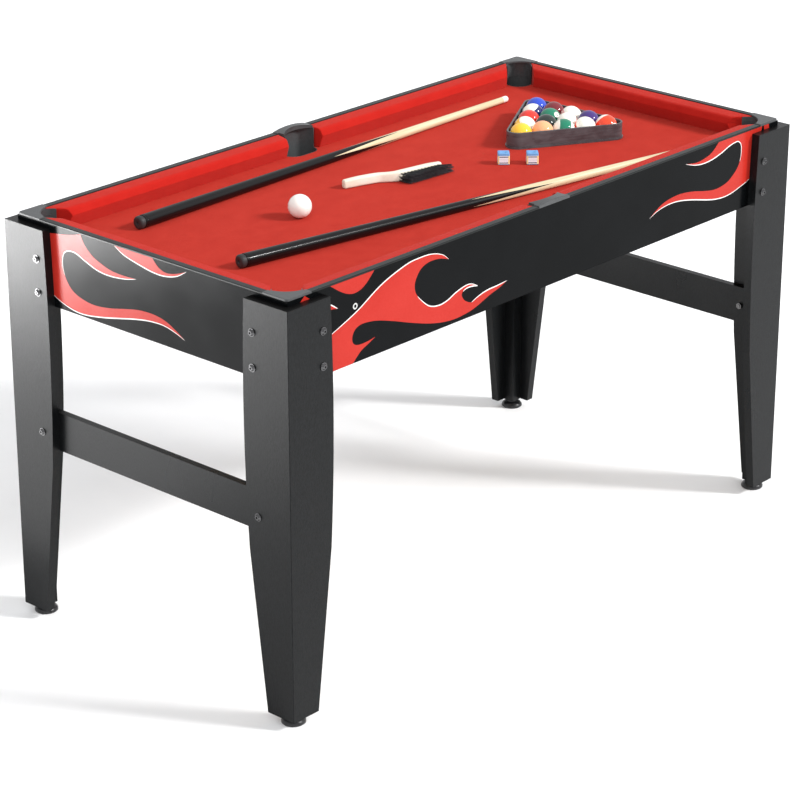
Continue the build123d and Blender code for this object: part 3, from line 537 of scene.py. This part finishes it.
def cushion_section():
    """Closed section: distance in from the apron's outer face, and height from the rail's top."""
    back, foot = APRON_BOARD, BED_TOP - RAIL_TOP
    top = (back, -1.2 * MM)
    shoulder = (36.0 * MM, -3.4 * MM)
    nose = (NOSE_REACH, -15.0 * MM)
    toe = (34.5 * MM, foot)
    section = [(back, foot)]
    section += [(back, foot + (top[1] - foot) * i / 3) for i in (1, 2)]
    section += rounded((back, foot), top, shoulder, 0.8 * MM, 3)
    section += [(back + 8 * MM, -1.93 * MM), (back + 15 * MM, -2.57 * MM)]
    section += rounded(top, shoulder, nose, 8.5 * MM, 7)
    section += rounded(shoulder, nose, toe, 2.5 * MM, 5)
    section += [((nose[0] + toe[0]) / 2, (nose[1] + toe[1]) / 2), toe]
    section += [(27.0 * MM, foot), (19.5 * MM, foot)]
    return section


def corner_end(length):
    """Where a mitred end at a corner pocket stops, for each distance in from the apron."""
    return lambda depth: length - MOUTH_OFFSET - depth


def side_end(depth):
    """Where the slightly flared end at a side pocket stops."""
    low, high = APRON_BOARD - MM, NOSE_REACH + MM
    return SIDE_MOUTH + MOUTH_FLARE * max(0.0, depth - low) / (high - low)


def build_cushion(name, node_name, start_at, stop_at, to_space, seed):
    """Cloth-covered cushion, swept along its rail, with its cloth folded softly over both ends."""
    section = cushion_section()
    inner = int((stop_at(20 * MM) - start_at(20 * MM)) / RING_STEP)
    folds = []
    for i in range(FOLD_STEPS + 1):
        angle = math.radians(90 * i / FOLD_STEPS)
        folds.append((END_FOLD * (1 - math.cos(angle)), END_FOLD * (1 - math.sin(angle))))
    rings = []

    def ring(share, in_from_end, shrink):
        points = []
        for depth, height in section:
            flat = Vector((depth, height))
            away = flat - SECTION_MIDDLE
            tight = flat - away.normalized() * shrink
            low, high = start_at(depth), stop_at(depth)
            along = low + (high - low) * share
            along += in_from_end if share == 0 else (-in_from_end if share == 1 else 0.0)
            sample = Vector((along * 22, depth * 60, height * 60 + seed))
            puff = PUFF * noise.noise(sample) * (1 if depth > APRON_BOARD + 2 * MM else 0)
            points.append(to_space(along, tight.x + puff, tight.y + puff))
        return points

    for in_from_end, shrink in folds:
        rings.append(ring(0, in_from_end, shrink))
    for i in range(1, inner):
        rings.append(ring(i / inner, 0, 0))
    for in_from_end, shrink in reversed(folds):
        rings.append(ring(1, in_from_end, shrink))
    mesh_code = bmesh.new()
    skin(mesh_code, rings)
    cushion = piece_from(mesh_code, name, "table", [CUSHION_FELT])
    keep_creases(cushion, 55)
    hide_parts(node_name)


def build_cushions():
    """Four side cushions and two end ones."""
    for x_sign, x_name in ((1, "right"), (-1, "left")):
        for y_sign, y_name in ((1, "far"), (-1, "near")):

            def beside(along, depth, height, x_sign=x_sign, y_sign=y_sign):
                return (x_sign * along, y_sign * (FACE_Y - depth), RAIL_TOP + height)

            name = f"cushion_{y_name}_{x_name}"
            build_cushion(f"{name}_cloth", name, side_end, corner_end(FACE_X), beside, 3.0 * x_sign)

        def across(along, depth, height, x_sign=x_sign):
            return (x_sign * (FACE_X - depth), along, RAIL_TOP + height)

        def lower(depth):
            return -corner_end(FACE_Y)(depth)

        name = f"cushion_{x_name}"
        build_cushion(f"{name}_cloth", name, lower, corner_end(FACE_Y), across, 9.0 * x_sign)


# ---- flame film on the aprons ----

FILM_LOW, FILM_HIGH = 0.02 * MM, 0.14 * MM  # off the apron's face
LINE_HIGH = 0.2 * MM
LINE_WIDTH_MM = 1.9  # at its widest
FILM_TOP_MM = 678.3
FILM_FOOT_MM = 545.8

# Each shape is a loop of smooth runs that meet at sharp points: a run starts where the one before
# it ends. It may carry a white line from one share of its length to another.
SIDE_SHAPES = [
    [
        ([(-499, 606), (-450, 625), (-397, 652), (-345, 668), (-316, 671), (-288, 670),
          (-264, 663), (-249, 652)], (0.02, 1.0)),
        ([(-270, 658), (-293, 659), (-311, 653), (-322, 640), (-325, 628), (-321, 615),
          (-307, 600), (-290, 588), (-269, 584), (-250, 587), (-232, 594), (-210, 599),
          (-196, 598), (-181, 591)], (0.42, 1.0)),
        ([(-195, 594), (-208, 594), (-217, 590), (-218, 584), (-212, 576), (-204, 571),
          (-196, 568)], (0.0, 0.5)),
        ([(-179, 574), (-159, 578), (-136, 579), (-113, 581)], (0.0, 1.0)),
        ([(-131, 574), (-151, 569), (-188, 557), (-212, 553), (-237, 552), (-265, 555),
          (-296, 562), (-334, 574), (-371, 587), (-403, 597), (-424, 601), (-440, 602),
          (-452, 599), (-459, 592), (-461, 583), (-458, 576), (-450, 572), (-438, 571),
          (-424, 572), (-411, 574)], None),
        ([(-427, 567), (-443, 560), (-460, FILM_FOOT_MM)], None),
        ([(-524, FILM_FOOT_MM)], None),
        ([(-524, 597)], None),
    ],
    [
        ([(-413, FILM_TOP_MM)], None),
        ([(-427, 665), (-440, 657), (-455, 654), (-470, 657), (-486, 665), (-506, FILM_TOP_MM)],
          None),
    ],
    [
        ([(-508, 651), (-491, 640)], (0.1, 1.0)),
        ([(-505, 642), (-524, 640)], None),
        ([(-524, 655)], None),
    ],
    [
        ([(-559, FILM_TOP_MM)], None),
        ([(-549, 671)], None),
        ([(-557, 663)], None),
        ([(-568, 671)], None),
    ],
    [
        ([(411, 666), (394, 660), (369, 657), (338, 661)], None),
        ([(362, 654), (384, 651), (408, 652), (433, 657), (455, 664), (470, 667), (482, 667),
          (490, 660), (492, 648), (490, 634), (483, 621), (470, 610), (455, 602), (434, 598),
          (416, 598), (392, 602), (360, 609), (328, 613), (300, 612), (273, 606), (245, 591)],
          (0.0, 0.42)),
        ([(260, 597), (277, 601), (300, 603), (328, 601), (363, 594), (399, 585), (424, 580),
          (449, 578), (471, 580), (493, 585), (511, 590), (530, 598)], (0.0, 0.97)),
        ([(549, FILM_TOP_MM)], None),
        ([(427, FILM_TOP_MM)], None),
    ],
    [
        ([(554, FILM_TOP_MM)], None),
        ([(568, FILM_TOP_MM)], None),
        ([(570, 668)], None),
        ([(556, 668)], None),
    ],
]
END_SHAPES = [
    [
        ([(136, 662), (119, 649), (98, 641), (77, 636), (51, 635), (25, 636)], None),
        ([(51, 630), (83, 627), (110, 629), (136, 637), (158, 645), (174, 645), (185, 639),
          (189, 626), (188, 611), (181, 595), (167, 581), (143, 573), (116, 571), (84, 575),
          (52, 582), (20, 588), (-11, 589), (-36, 585), (-57, 576), (-76, 565)], (0.0, 0.42)),
        ([(-56, 572), (-31, 577), (0, 576), (31, 571), (63, 564), (100, 556), (138, 550),
          (165, 550), (193, 556), (222, 568)], (0.0, 0.97)),
        ([(222, 663)], None),
        ([(205, 666), (185, 669), (165, 673), (146, FILM_TOP_MM)], None),
    ],
    [
        ([(50, 668), (19, 661), (-12, 656), (-38, 656), (-63, 662), (-84, 674)], (0.0, 1.0)),
        ([(-63, 666), (-43, 662), (-28, 665), (-18, 672), (-12, FILM_TOP_MM)], None),
        ([(71, FILM_TOP_MM)], None),
    ],
]


def line_outline(points, span):
    """Outline of a line along part of a curve, thin at both ends."""
    lengths = [0.0]
    for a, b in zip(points, points[1:]):
        lengths.append(lengths[-1] + (b - a).length)
    start, stop = (share * lengths[-1] for share in span)
    kept = [i for i, at in enumerate(lengths) if start <= at <= stop]
    left, right = [], []
    for i in kept:
        before, after = points[max(i - 1, 0)], points[min(i + 1, len(points) - 1)]
        tangent = (after - before).normalized()
        across = Vector((-tangent.y, tangent.x))
        share = (lengths[i] - start) / (stop - start)
        width = LINE_WIDTH_MM * (0.12 + 0.88 * math.sin(math.pi * share) ** 0.5) / 2
        left.append(points[i] + across * width)
        right.append(points[i] - across * width)
    return left + right[::-1]


def build_films():
    """Flame film on each apron: the red shapes and their white lines."""
    sides = {
        "near": (SIDE_SHAPES, lambda u, v, h: (u * MM, -FACE_Y - h, v * MM)),
        "far": (SIDE_SHAPES, lambda u, v, h: (-u * MM, FACE_Y + h, v * MM)),
        "left": (END_SHAPES, lambda u, v, h: (-FACE_X - h, u * MM, v * MM)),
        "right": (END_SHAPES, lambda u, v, h: (FACE_X + h, -u * MM, v * MM)),
    }
    for name, (shapes, to_space) in sides.items():
        red, white = bmesh.new(), bmesh.new()
        for shape in shapes:
            outline = []
            corner = shape[-1][0][-1]
            for points, span in shape:
                points = [corner, *points]
                corner = points[-1]
                run = through(points) if len(points) > 2 else [Vector(p) for p in points]
                outline += run[:-1]
                if span:
                    plate(white, line_outline(run, span), FILM_LOW, LINE_HIGH, to_space)
            plate(red, outline, FILM_LOW, FILM_HIGH, to_space)
        piece_from(red, f"flame_{name}", "table", [FLAME], smooth=False)
        piece_from(white, f"flame_line_{name}", "table", [OUTLINE], smooth=False)


# ---- cues ----

CUE_LENGTH = 914.0 * MM
CUE_BUTT = 11.0 * MM  # radius at the butt
CUE_TIP = 5.5 * MM  # radius at the tip
CUE_REST = 645.3 * MM  # height of its underside
BUMPER_END = 10.0 * MM
GROOVE_STOP = 14.6 * MM
SPLICE_START = 448.0 * MM  # where the black ends between two points
SPLICE_STOP = 620.0 * MM  # where each point ends
FERRULE_START = 900.0 * MM
TIP_START = 911.0 * MM
CUE_SIDES = 48
SPLICE_POINTS = 4
BUTT_RINGS, SHAFT_RINGS = 9, 12
# Start of the butt: distance along the cue, and change of its radius.
BUTT_PROFILE = (
    (BUMPER_END, -0.7 * MM), (BUMPER_END + 0.6 * MM, 0.0), (13.0 * MM, 0.0),
    (13.4 * MM, -0.35 * MM), (14.2 * MM, -0.35 * MM), (GROOVE_STOP, 0.0),
)
# Name, place of the butt and a point aimed at, both in plan and in millimetres, and turn about
# the cue's axis in radians.
CUES = (
    ("far_cue", (-458.0, 168.0), (457.0, 194.5), 0.35),
    ("near_cue", (-477.6, -73.3), (396.2, -217.6), 1.15),
)


def build_cue(stem, butt, aim, turn):
    """A cue: rubber bumper, black butt with four long points spliced into maple, ferrule, tip."""
    heading = math.atan2(aim[1] - butt[1], aim[0] - butt[0])
    dip = math.asin((CUE_BUTT - CUE_TIP) / CUE_LENGTH)
    base = Vector((butt[0] * MM, butt[1] * MM, CUE_REST + CUE_BUTT))
    level = Matrix.Translation(base) @ Matrix.Rotation(heading, 4, "Z")
    matrix = level @ Matrix.Rotation(dip, 4, "Y")

    def radius(along):
        return CUE_BUTT + (CUE_TIP - CUE_BUTT) * along / CUE_LENGTH

    def turned(along, size, i):
        angle = 2 * math.pi * i / CUE_SIDES + turn
        return (along, size * math.cos(angle), size * math.sin(angle))

    def lathe(profile):
        return [[turned(along, size, i) for i in range(CUE_SIDES)] for along, size in profile]

    def splice(i):
        wave = abs(((i / CUE_SIDES * SPLICE_POINTS) % 1.0) * 2 - 1)
        return SPLICE_START + (SPLICE_STOP - SPLICE_START) * wave

    bumper = bmesh.new()
    wide = radius(0) - 0.4 * MM
    profile = [(0.0, wide - 4.2 * MM), (0.25 * MM, wide - 2.6 * MM), (1.0 * MM, wide - 1.1 * MM)]
    profile += [(2.4 * MM, wide - 0.25 * MM), (4.0 * MM, wide), (7.6 * MM, wide)]
    profile += [(8.0 * MM, wide - 0.8 * MM), (BUMPER_END + 0.5 * MM, wide - 0.8 * MM)]
    skin(bumper, lathe([(2.0 * MM, 2.4 * MM), (0.4 * MM, 3.0 * MM), *profile]))
    made = [piece_from(bumper, f"{stem}_bumper_rubber", stem, [BUMPER])]

    stick = bmesh.new()
    grid = [([along] * CUE_SIDES, change) for along, change in BUTT_PROFILE]
    for k in range(1, BUTT_RINGS):
        share = k / BUTT_RINGS
        stops = [GROOVE_STOP + (splice(i) - GROOVE_STOP) * share for i in range(CUE_SIDES)]
        grid.append((stops, 0.0))
    joint_row = len(grid)
    for k in range(SHAFT_RINGS + 1):
        share = k / SHAFT_RINGS
        stops = [splice(i) + (FERRULE_START - splice(i)) * share for i in range(CUE_SIDES)]
        grid.append((stops, 0.0))
    rings = [
        [turned(stops[i], radius(stops[i]) + change, i) for i in range(CUE_SIDES)]
        for stops, change in grid
    ]
    skin(stick, rings)
    stick.faces.ensure_lookup_table()
    for index, face in enumerate(stick.faces):
        face.material_index = 0 if index < joint_row * CUE_SIDES else 1
    stick.faces[-1].material_index = 1
    stick.faces[-2].material_index = 0
    made.append(piece_from(stick, f"{stem}_shaft", stem, [EBONY, MAPLE]))

    tip = bmesh.new()
    end = radius(FERRULE_START)
    profile = [(FERRULE_START - 0.2 * MM, end), (TIP_START, radius(TIP_START))]
    profile += [(911.1 * MM, end - 0.35 * MM), (912.3 * MM, end - 0.4 * MM)]
    profile += [(913.2 * MM, end - 1.4 * MM), (913.8 * MM, end - 3.0 * MM), (CUE_LENGTH, 0.8 * MM)]
    skin(tip, lathe(profile))
    made.append(piece_from(tip, f"{stem}_tip", stem, [FERRULE]))
    for piece in made:
        place_at(piece, matrix, stem)
        keep_creases(piece, 40)
    for piece, part in zip(made, ("bumper", "stick", "ferrule")):
        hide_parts(f"{stem}_{part}")


# ---- balls ----

BLUE, MAROON, PINK = (0.02, 0.06, 0.48), (0.16, 0.012, 0.02), (0.80, 0.36, 0.34)
PURPLE, ORANGE, NAVY = (0.045, 0.02, 0.16), (0.78, 0.055, 0.015), (0.015, 0.02, 0.11)
GREEN, RED, BLACK = (0.005, 0.18, 0.10), (0.66, 0.03, 0.02), (0.014, 0.022, 0.02)
PEACH, YELLOW = (0.90, 0.38, 0.18), (0.90, 0.50, 0.03)
CUE_BALL_COLOUR, INK = (0.80, 0.78, 0.73), (0.01, 0.01, 0.012)

# Rows from the apex; in each row the first ball is the nearest one. Colour, striped, number, and
# where a striped ball's white end or a solid ball's number points, along the three axes below.
BALL_ROWS = [
    [(YELLOW, False, 1, (1.0, -0.3, 0.0))],
    [(PEACH, False, 5, (1.0, -0.4, 0.0)), (YELLOW, True, 11, (0.45, 0.6, 0.6))],
    [
        (GREEN, True, 14, (-0.9, 0.1, 0.1)),
        (BLACK, False, 8, (1.0, -0.5, 0.0)),
        (RED, False, 3, (1.0, -0.3, 0.0)),
    ],
    [
        (ORANGE, True, 9, (0.1, 0.45, 0.85)),
        (MAROON, True, 15, (-0.15, 0.5, 0.8)),
        (GREEN, False, 6, (0.6, 0.3, 0.74)),
        (NAVY, True, 10, (-0.5, 0.75, 0.35)),
    ],
    [
        (ORANGE, True, 13, (0.55, -0.75, 0.35)),
        (PURPLE, False, 4, (1.0, -0.4, 0.0)),
        (PINK, True, 12, (0.3, 0.7, 0.55)),
        (MAROON, False, 7, (1.0, -0.4, 0.0)),
        (BLUE, False, 2, (1.0, -0.4, 0.0)),
    ],
]
# To the right and up as the camera sees the rack, and towards the camera.
BALL_RIGHT = Vector((0.6723, -0.7403, 0.0))
BALL_UP = Vector((0.2825, 0.2566, 0.9239))
BALL_OUT = Vector((-0.6840, -0.6210, 0.3816))
BALL_SEGMENTS, BALL_RINGS = 64, 32
BALL_FIT = 0.999  # share of the radius that the frame gives
FIGURE_SIZE = 7.4 * MM
FIGURE_LIFT, FIGURE_SINK = 0.03 * MM, 0.05 * MM  # of a number's faces from the ball's surface


def ball_turn(striped, aim):
    """Rotation that points a ball's pole, or its number when it is solid, along an aim."""
    pole = (BALL_RIGHT * aim[0] + BALL_UP * aim[1] + BALL_OUT * aim[2]).normalized()
    if striped:
        first = pole.cross(BALL_OUT).normalized()
        columns = (first, pole.cross(first), pole)
    else:
        third = (BALL_UP - pole * BALL_UP.dot(pole)).normalized()
        columns = (pole, third.cross(pole), third)
    return Matrix(columns).transposed().to_4x4()


def sphere_piece(name, radius, body, material, turn):
    """A turned ball of quads, closed with a small fan at each pole."""
    mesh_code = bmesh.new()
    counts = {"u_segments": BALL_SEGMENTS, "v_segments": BALL_RINGS}
    bmesh.ops.create_uvsphere(mesh_code, radius=radius, **counts)
    mesh_code.transform(turn)
    return piece_from(mesh_code, name, body, [material])


def figures(name, number, radius, ink, turn):
    """The two printed numbers of a ball, wrapped onto it at both ends of its X axis."""
    text = bpy.data.curves.new(name, "FONT")
    text.body = str(number)
    text.size = FIGURE_SIZE
    text.align_x, text.align_y = "CENTER", "CENTER"
    holder = bpy.data.objects.new(name, text)
    bpy.context.scene.collection.objects.link(holder)
    bpy.context.view_layer.update()
    flat = bpy.data.meshes.new_from_object(holder)
    bpy.data.objects.remove(holder)
    mesh_code = bmesh.new()
    mesh_code.from_mesh(flat)
    bmesh.ops.triangulate(mesh_code, faces=mesh_code.faces)
    bmesh.ops.subdivide_edges(mesh_code, edges=mesh_code.edges, cuts=1, use_grid_fill=True)
    lift = radius + FIGURE_LIFT
    copies = []
    for side in (1, -1):
        for face in list(mesh_code.faces):
            ring = []
            for vert in face.verts:
                u, v = vert.co.x, vert.co.y
                reach = math.sqrt(max(lift * lift - u * u - v * v, 0.0))
                ring.append((side * reach, side * u, v))
            copies.append(ring)
    mesh_code.free()
    wrapped = bmesh.new()
    for ring in copies:
        wrapped.faces.new([wrapped.verts.new(p) for p in ring])
    bmesh.ops.remove_doubles(wrapped, verts=wrapped.verts, dist=1e-6)
    made = bmesh.ops.extrude_face_region(wrapped, geom=wrapped.faces[:])
    for item in made["geom"]:
        if isinstance(item, bmesh.types.BMVert):
            item.co *= (radius - FIGURE_SINK) / item.co.length
    wrapped.transform(turn)
    return piece_from(wrapped, name, "object_balls", [ink], smooth=False)


def build_balls():
    """Fifteen racked balls, each with its own turn, and the cue ball."""
    low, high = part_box("object_balls")
    radius = (high.z - low.z) / 2
    rows = len(BALL_ROWS)
    step = (high.x - low.x - 2 * radius) / (rows - 1)
    pitch = (high.y - low.y - 2 * radius) / (rows - 1)
    middle = (low.y + high.y) / 2
    height = (high.z + low.z) / 2
    ink = ball_resin("ball_ink", INK, False, False, Matrix())
    first = None
    for row, balls in enumerate(BALL_ROWS):
        for place, (colour, striped, number, aim) in enumerate(balls):
            turn = ball_turn(striped, aim)
            material = ball_resin(f"resin_{number:02d}", colour, striped, True, turn)
            name = f"object_ball_{number:02d}"
            cast = radius * BALL_FIT
            ball = sphere_piece(name, cast, "object_balls", material, turn)
            marks = figures(f"{name}_figures", number, cast, ink, turn)
            spot = Vector((low.x + radius + row * step, middle + (place - row / 2) * pitch, height))
            for piece in (ball, marks):
                place_at(piece, Matrix.Translation(spot), "object_balls")
            first = first or ball
    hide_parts("object_balls")
    low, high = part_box("cue_ball")
    resin = ball_resin("cue_ball_resin", CUE_BALL_COLOUR, False, False, Matrix())
    radius = (high.z - low.z) / 2
    cue_ball = sphere_piece("cue_ball_cast", radius, "cue_ball", resin, Matrix())
    place_at(cue_ball, Matrix.Translation((low + high) / 2), "cue_ball")
    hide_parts("cue_ball")


# ---- brush ----

# Middle line of the handle, and its height and depth at each point.
BRUSH_PATH_MM = [
    (-94, 71.5), (-75, 66.4), (-52, 59.6), (-34, 52.6), (-23, 44.2), (-12, 36.6), (4, 31.2),
    (28, 26.3), (55, 21.8), (76.5, 18.1),
]
BRUSH_HEIGHTS_MM = [14.6, 15.6, 15.9, 15.9, 16.1, 16.8, 17.7, 18.0, 17.8, 16.4]
BRUSH_DEPTHS_MM = [10.0, 10.8, 11.0, 10.8, 10.4, 10.6, 11.0, 11.0, 10.8, 9.8]
HANDLE_SIDES = 24
HEAD_START_MM, HEAD_STOP_MM = Vector((-14.0, 33.5)), Vector((77.0, 18.0))
TUFT_REACH_MM = 41.0  # of the outer tufts, from the head's middle
# Where the first and the last tuft end, along the head and out from it.
SWEEP_START_MM, SWEEP_STOP_MM = Vector((-33.0, 27.6)), Vector((59.5, 18.4))
TUFTS = 13
TUFT_ROWS_MM = (2.4, 5.6, 8.8, 13.4)
TUFT_RADIUS_MM = 0.9  # at the root
TUFT_HAIRS = 34
ROOT_DEPTH_MM = 4.9  # out from the head's middle line
HAIR_BEND_MM = 1.4
HAIR_LOW_MM, HAIR_HIGH_MM = 1.0, 17.0


def build_handle():
    """Waved wooden handle with rounded edges and ends, lying on its narrow side."""
    low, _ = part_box("brush_handle")
    line = through(BRUSH_PATH_MM, 6)
    sizes = through(list(zip(BRUSH_HEIGHTS_MM, BRUSH_DEPTHS_MM)), 6)
    rings = []
    count = len(line)
    for i, (spot, size) in enumerate(zip(line, sizes)):
        before, after = line[max(i - 1, 0)], line[min(i + 1, count - 1)]
        tangent = (after - before).normalized()
        across = Vector((-tangent.y, tangent.x))
        ring = []
        for k in range(HANDLE_SIDES):
            angle = 2 * math.pi * k / HANDLE_SIDES
            c, s = math.cos(angle), math.sin(angle)
            u = math.copysign(abs(c) ** 0.5, c) * size.y / 2
            w = math.copysign(abs(s) ** 0.5, s) * size.x / 2
            flat = spot + across * u
            ring.append((flat.x * MM, flat.y * MM, low.z + (w + size.x / 2) * MM))
        rings.append(ring)
    for end in (0, -1):
        centre = sum((Vector(p) for p in rings[end]), Vector()) / HANDLE_SIDES
        heading = line[0] - line[1] if end == 0 else line[-1] - line[-2]
        away = Vector((*heading.normalized(), 0))
        extra = []
        for shrink, out in ((0.95, 0.9), (0.84, 1.7), (0.6, 2.2)):
            moved = centre + away * out * MM
            extra.append([tuple(moved + (Vector(p) - centre) * shrink) for p in rings[end]])
        rings = extra[::-1] + rings if end == 0 else rings + extra
    mesh_code = bmesh.new()
    skin(mesh_code, rings)
    handle = piece_from(mesh_code, "brush_wood", "brush", [BRUSH_WOOD])
    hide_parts("brush_handle")


def build_tufts():
    """Rows of bristle tufts set in the head, swept and fanned by wear."""
    low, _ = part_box("brush_handle")
    along = (HEAD_STOP_MM - HEAD_START_MM).normalized()
    out = Vector((along.y, -along.x))
    middle = (HEAD_START_MM + HEAD_STOP_MM) / 2
    chance = Random(11)
    hairs = bmesh.new()

    def on_head(u, v, height):
        flat = middle + along * u + out * v
        return Vector((flat.x, flat.y, height))

    for row, height in enumerate(TUFT_ROWS_MM):
        count = TUFTS - row % 2
        for k in range(count):
            share = (k + 0.5 * (row % 2)) / (TUFTS - 1)
            root = -TUFT_REACH_MM + 2 * TUFT_REACH_MM * share
            aim = SWEEP_START_MM.lerp(SWEEP_STOP_MM, share)
            for _ in range(TUFT_HAIRS):
                spin = chance.uniform(0, 2 * math.pi)
                reach = TUFT_RADIUS_MM * math.sqrt(chance.random())
                u, w = reach * math.cos(spin), reach * math.sin(spin)
                start = on_head(root + u, ROOT_DEPTH_MM, height + w)
                stop_u = aim.x + 3.1 * u + chance.uniform(-0.9, 0.9)
                stop_w = height + 1.9 * w + chance.uniform(-0.8, 0.8)
                stop_w = min(max(stop_w, HAIR_LOW_MM), HAIR_HIGH_MM)
                stop = on_head(stop_u, aim.y + chance.uniform(-1.2, 0.5), stop_w)
                bend = start.lerp(stop, 0.5) + Vector((out.x, out.y, 0.0)) * HAIR_BEND_MM
                rows = []
                for centre, thick in ((start, 0.34), (bend, 0.32), (stop, 0.2)):
                    rows.append([
                        (
                            (centre.x + along.x * thick * math.cos(a)) * MM,
                            (centre.y + along.y * thick * math.cos(a)) * MM,
                            low.z + (centre.z + thick * math.sin(a)) * MM,
                        )
                        for a in (0.5, 2.6, 4.7)
                    ])
                skin(hairs, rows)
    bristles = piece_from(hairs, "brush_tufts", "brush", [HAIR])
    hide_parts("brush_bristles")


# ---- chalks ----

CHALK_TURN = math.radians(-46.0)
# Outside of a chalk from its foot up: height, and change of its half width.
CHALK_LEVELS_MM = ((0.0, -0.6), (0.5, -0.1), (1.0, 0.0), (18.6, 0.0), (19.2, -0.2), (19.55, -0.9))
# Hollow in its top from the rim in: radius and height.
CHALK_HOLLOW_MM = ((6.4, 19.45), (5.6, 19.0), (4.2, 18.5), (2.2, 18.2))


def soft_square(half, corner, steps=4):
    """Square with rounded corners."""
    points = []
    for k, (sx, sy) in enumerate(((1, 1), (-1, 1), (-1, -1), (1, -1))):
        centre = (sx * (half - corner), sy * (half - corner))
        points += arc(centre, corner, 90 * k, 90 * k + 90, steps)
    return points


def build_chalk(name):
    """Cube of chalk with a worn hollow on top, in its paper wrap."""
    low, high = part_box(name)
    centre = (low + high) / 2
    size = high.z - low.z
    half = size / 2 - 0.15 * MM
    body = bmesh.new()
    rings = []
    for height, grow in CHALK_LEVELS_MM:
        rings.append([(x, y, height * MM) for x, y in soft_square(half + grow * MM, 1.4 * MM)])
    foot = rings[0]
    for reach, height in CHALK_HOLLOW_MM:
        ring = []
        for x, y, _ in foot:
            angle = math.atan2(y, x)
            ring.append((reach * MM * math.cos(angle), reach * MM * math.sin(angle), height * MM))
        rings.append(ring)
    skin(body, rings)
    cube = piece_from(body, f"{name}_cube", name, [CHALK])
    wrap = bmesh.new()
    outer, inner = soft_square(size / 2, 1.5 * MM), soft_square(size / 2 - 0.12 * MM, 1.4 * MM)
    rows = [(outer, PAPER_LOW_MM), (outer, PAPER_HIGH_MM), (inner, PAPER_HIGH_MM)]
    rows += [(inner, PAPER_LOW_MM), (outer, PAPER_LOW_MM)]
    skin(wrap, [[(x, y, h * MM) for x, y in flat] for flat, h in rows], closed_ends=False)
    paper = piece_from(wrap, f"{name}_paper", name, [PAPER], smooth=False)
    matrix = Matrix.Translation((centre.x, centre.y, low.z)) @ Matrix.Rotation(CHALK_TURN, 4, "Z")
    for piece in (cube, paper):
        place_at(piece, matrix, name)
    keep_creases(cube, 40)
    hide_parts(name)


# ---- studio ----

CAMERA_PLACE = (-3.3165, -2.9768, 2.1072)
CAMERA_AZIMUTH, CAMERA_ELEVATION = math.radians(-47.751), math.radians(22.434)
CAMERA_LENS_MM, SENSOR_WIDTH_MM = 129.97, 36.0
FLOOR_HALF = 30.0
WORLD_COLOUR, WORLD_STRENGTH = (0.97, 0.98, 1.0, 1.0), 0.85
LIT_POINT = Vector((0, 0, 0.6))
# Name, offset from the lit point, power, angle in degrees, and whether glossy surfaces show it.
SUNS = (
    ("key", (2.1, -2.9, 2.1), 2.2, 9.0, False),
    ("fill", (-2.6, -2.4, 2.1), 1.2, 35.0, False),
    ("glint", (1.64, -2.88, 2.24), 1.5, 5.0, True),
)
# Name, place on the floor, power and size of each panel that shines upward.
PANELS = (
    ("glow", (-2.1, 2.12, 0.02), 270.0, (1.3, 1.3)),
    ("low_glow", (-1.35, 0.87, 0.02), 9.5, (1.2, 1.0)),
)


def light(name, kind, location, target, power, mirrored=True):
    """Light aimed at a point, not seen itself, and shown by glossy surfaces only when mirrored."""
    data = bpy.data.lights.new(name, kind)
    data.energy = power
    lamp = bpy.data.objects.new(name, data)
    bpy.context.scene.collection.objects.link(lamp)
    lamp.location = location
    lamp.rotation_mode = "QUATERNION"
    lamp.rotation_quaternion = (Vector(target) - Vector(location)).to_track_quat("-Z", "Y")
    lamp.visible_camera = False
    lamp.visible_glossy = mirrored
    return data


def build_studio():
    """Pale floor, even surroundings, three suns, two panels on the left and the camera."""
    scene = bpy.context.scene
    scene.view_settings.view_transform = "Standard"
    scene.view_settings.look = "None"
    world = bpy.data.worlds.new("studio")
    scene.world = world
    world.use_nodes = True
    background = world.node_tree.nodes["Background"]
    background.inputs["Color"].default_value = WORLD_COLOUR
    background.inputs["Strength"].default_value = WORLD_STRENGTH

    mesh_code = bmesh.new()
    bmesh.ops.create_grid(mesh_code, x_segments=8, y_segments=8, size=FLOOR_HALF)
    data = bpy.data.meshes.new("floor")
    mesh_code.to_mesh(data)
    mesh_code.free()
    paint = textured(
        "floor_paint", (0.90, 0.90, 0.90), (0.93, 0.93, 0.93), 3, (0.7, 0.8), 40, 0.0001
    )
    data.materials.append(paint)
    floor = bpy.data.objects.new("floor", data)
    scene.collection.objects.link(floor)

    for name, offset, power, angle, mirrored in SUNS:
        sun = light(name, "SUN", LIT_POINT + Vector(offset), LIT_POINT, power, mirrored)
        sun.angle = math.radians(angle)
    for name, place, power, size in PANELS:
        place = Vector(place)
        panel = light(name, "AREA", place, place + Vector((0, 0, 1)), power)
        panel.shape = "RECTANGLE"
        panel.size, panel.size_y = size

    data = bpy.data.cameras.new("camera")
    data.sensor_width = SENSOR_WIDTH_MM
    data.lens = CAMERA_LENS_MM
    data.clip_end = 100.0
    camera = bpy.data.objects.new("camera", data)
    scene.collection.objects.link(camera)
    camera.location = CAMERA_PLACE
    level = math.cos(CAMERA_ELEVATION)
    back = Vector((
        math.sin(CAMERA_AZIMUTH) * level,
        -math.cos(CAMERA_AZIMUTH) * level,
        math.sin(CAMERA_ELEVATION),
    ))
    camera.rotation_mode = "QUATERNION"
    camera.rotation_quaternion = (-back).to_track_quat("-Z", "Y")
    scene.camera = camera


dress_nodes()
build_cloth()
build_cushions()
build_films()
for cue in CUES:
    build_cue(*cue)
build_balls()
build_handle()
build_tufts()
for chalk_name in ("chalk_left", "chalk_right"):
    build_chalk(chalk_name)
build_studio()
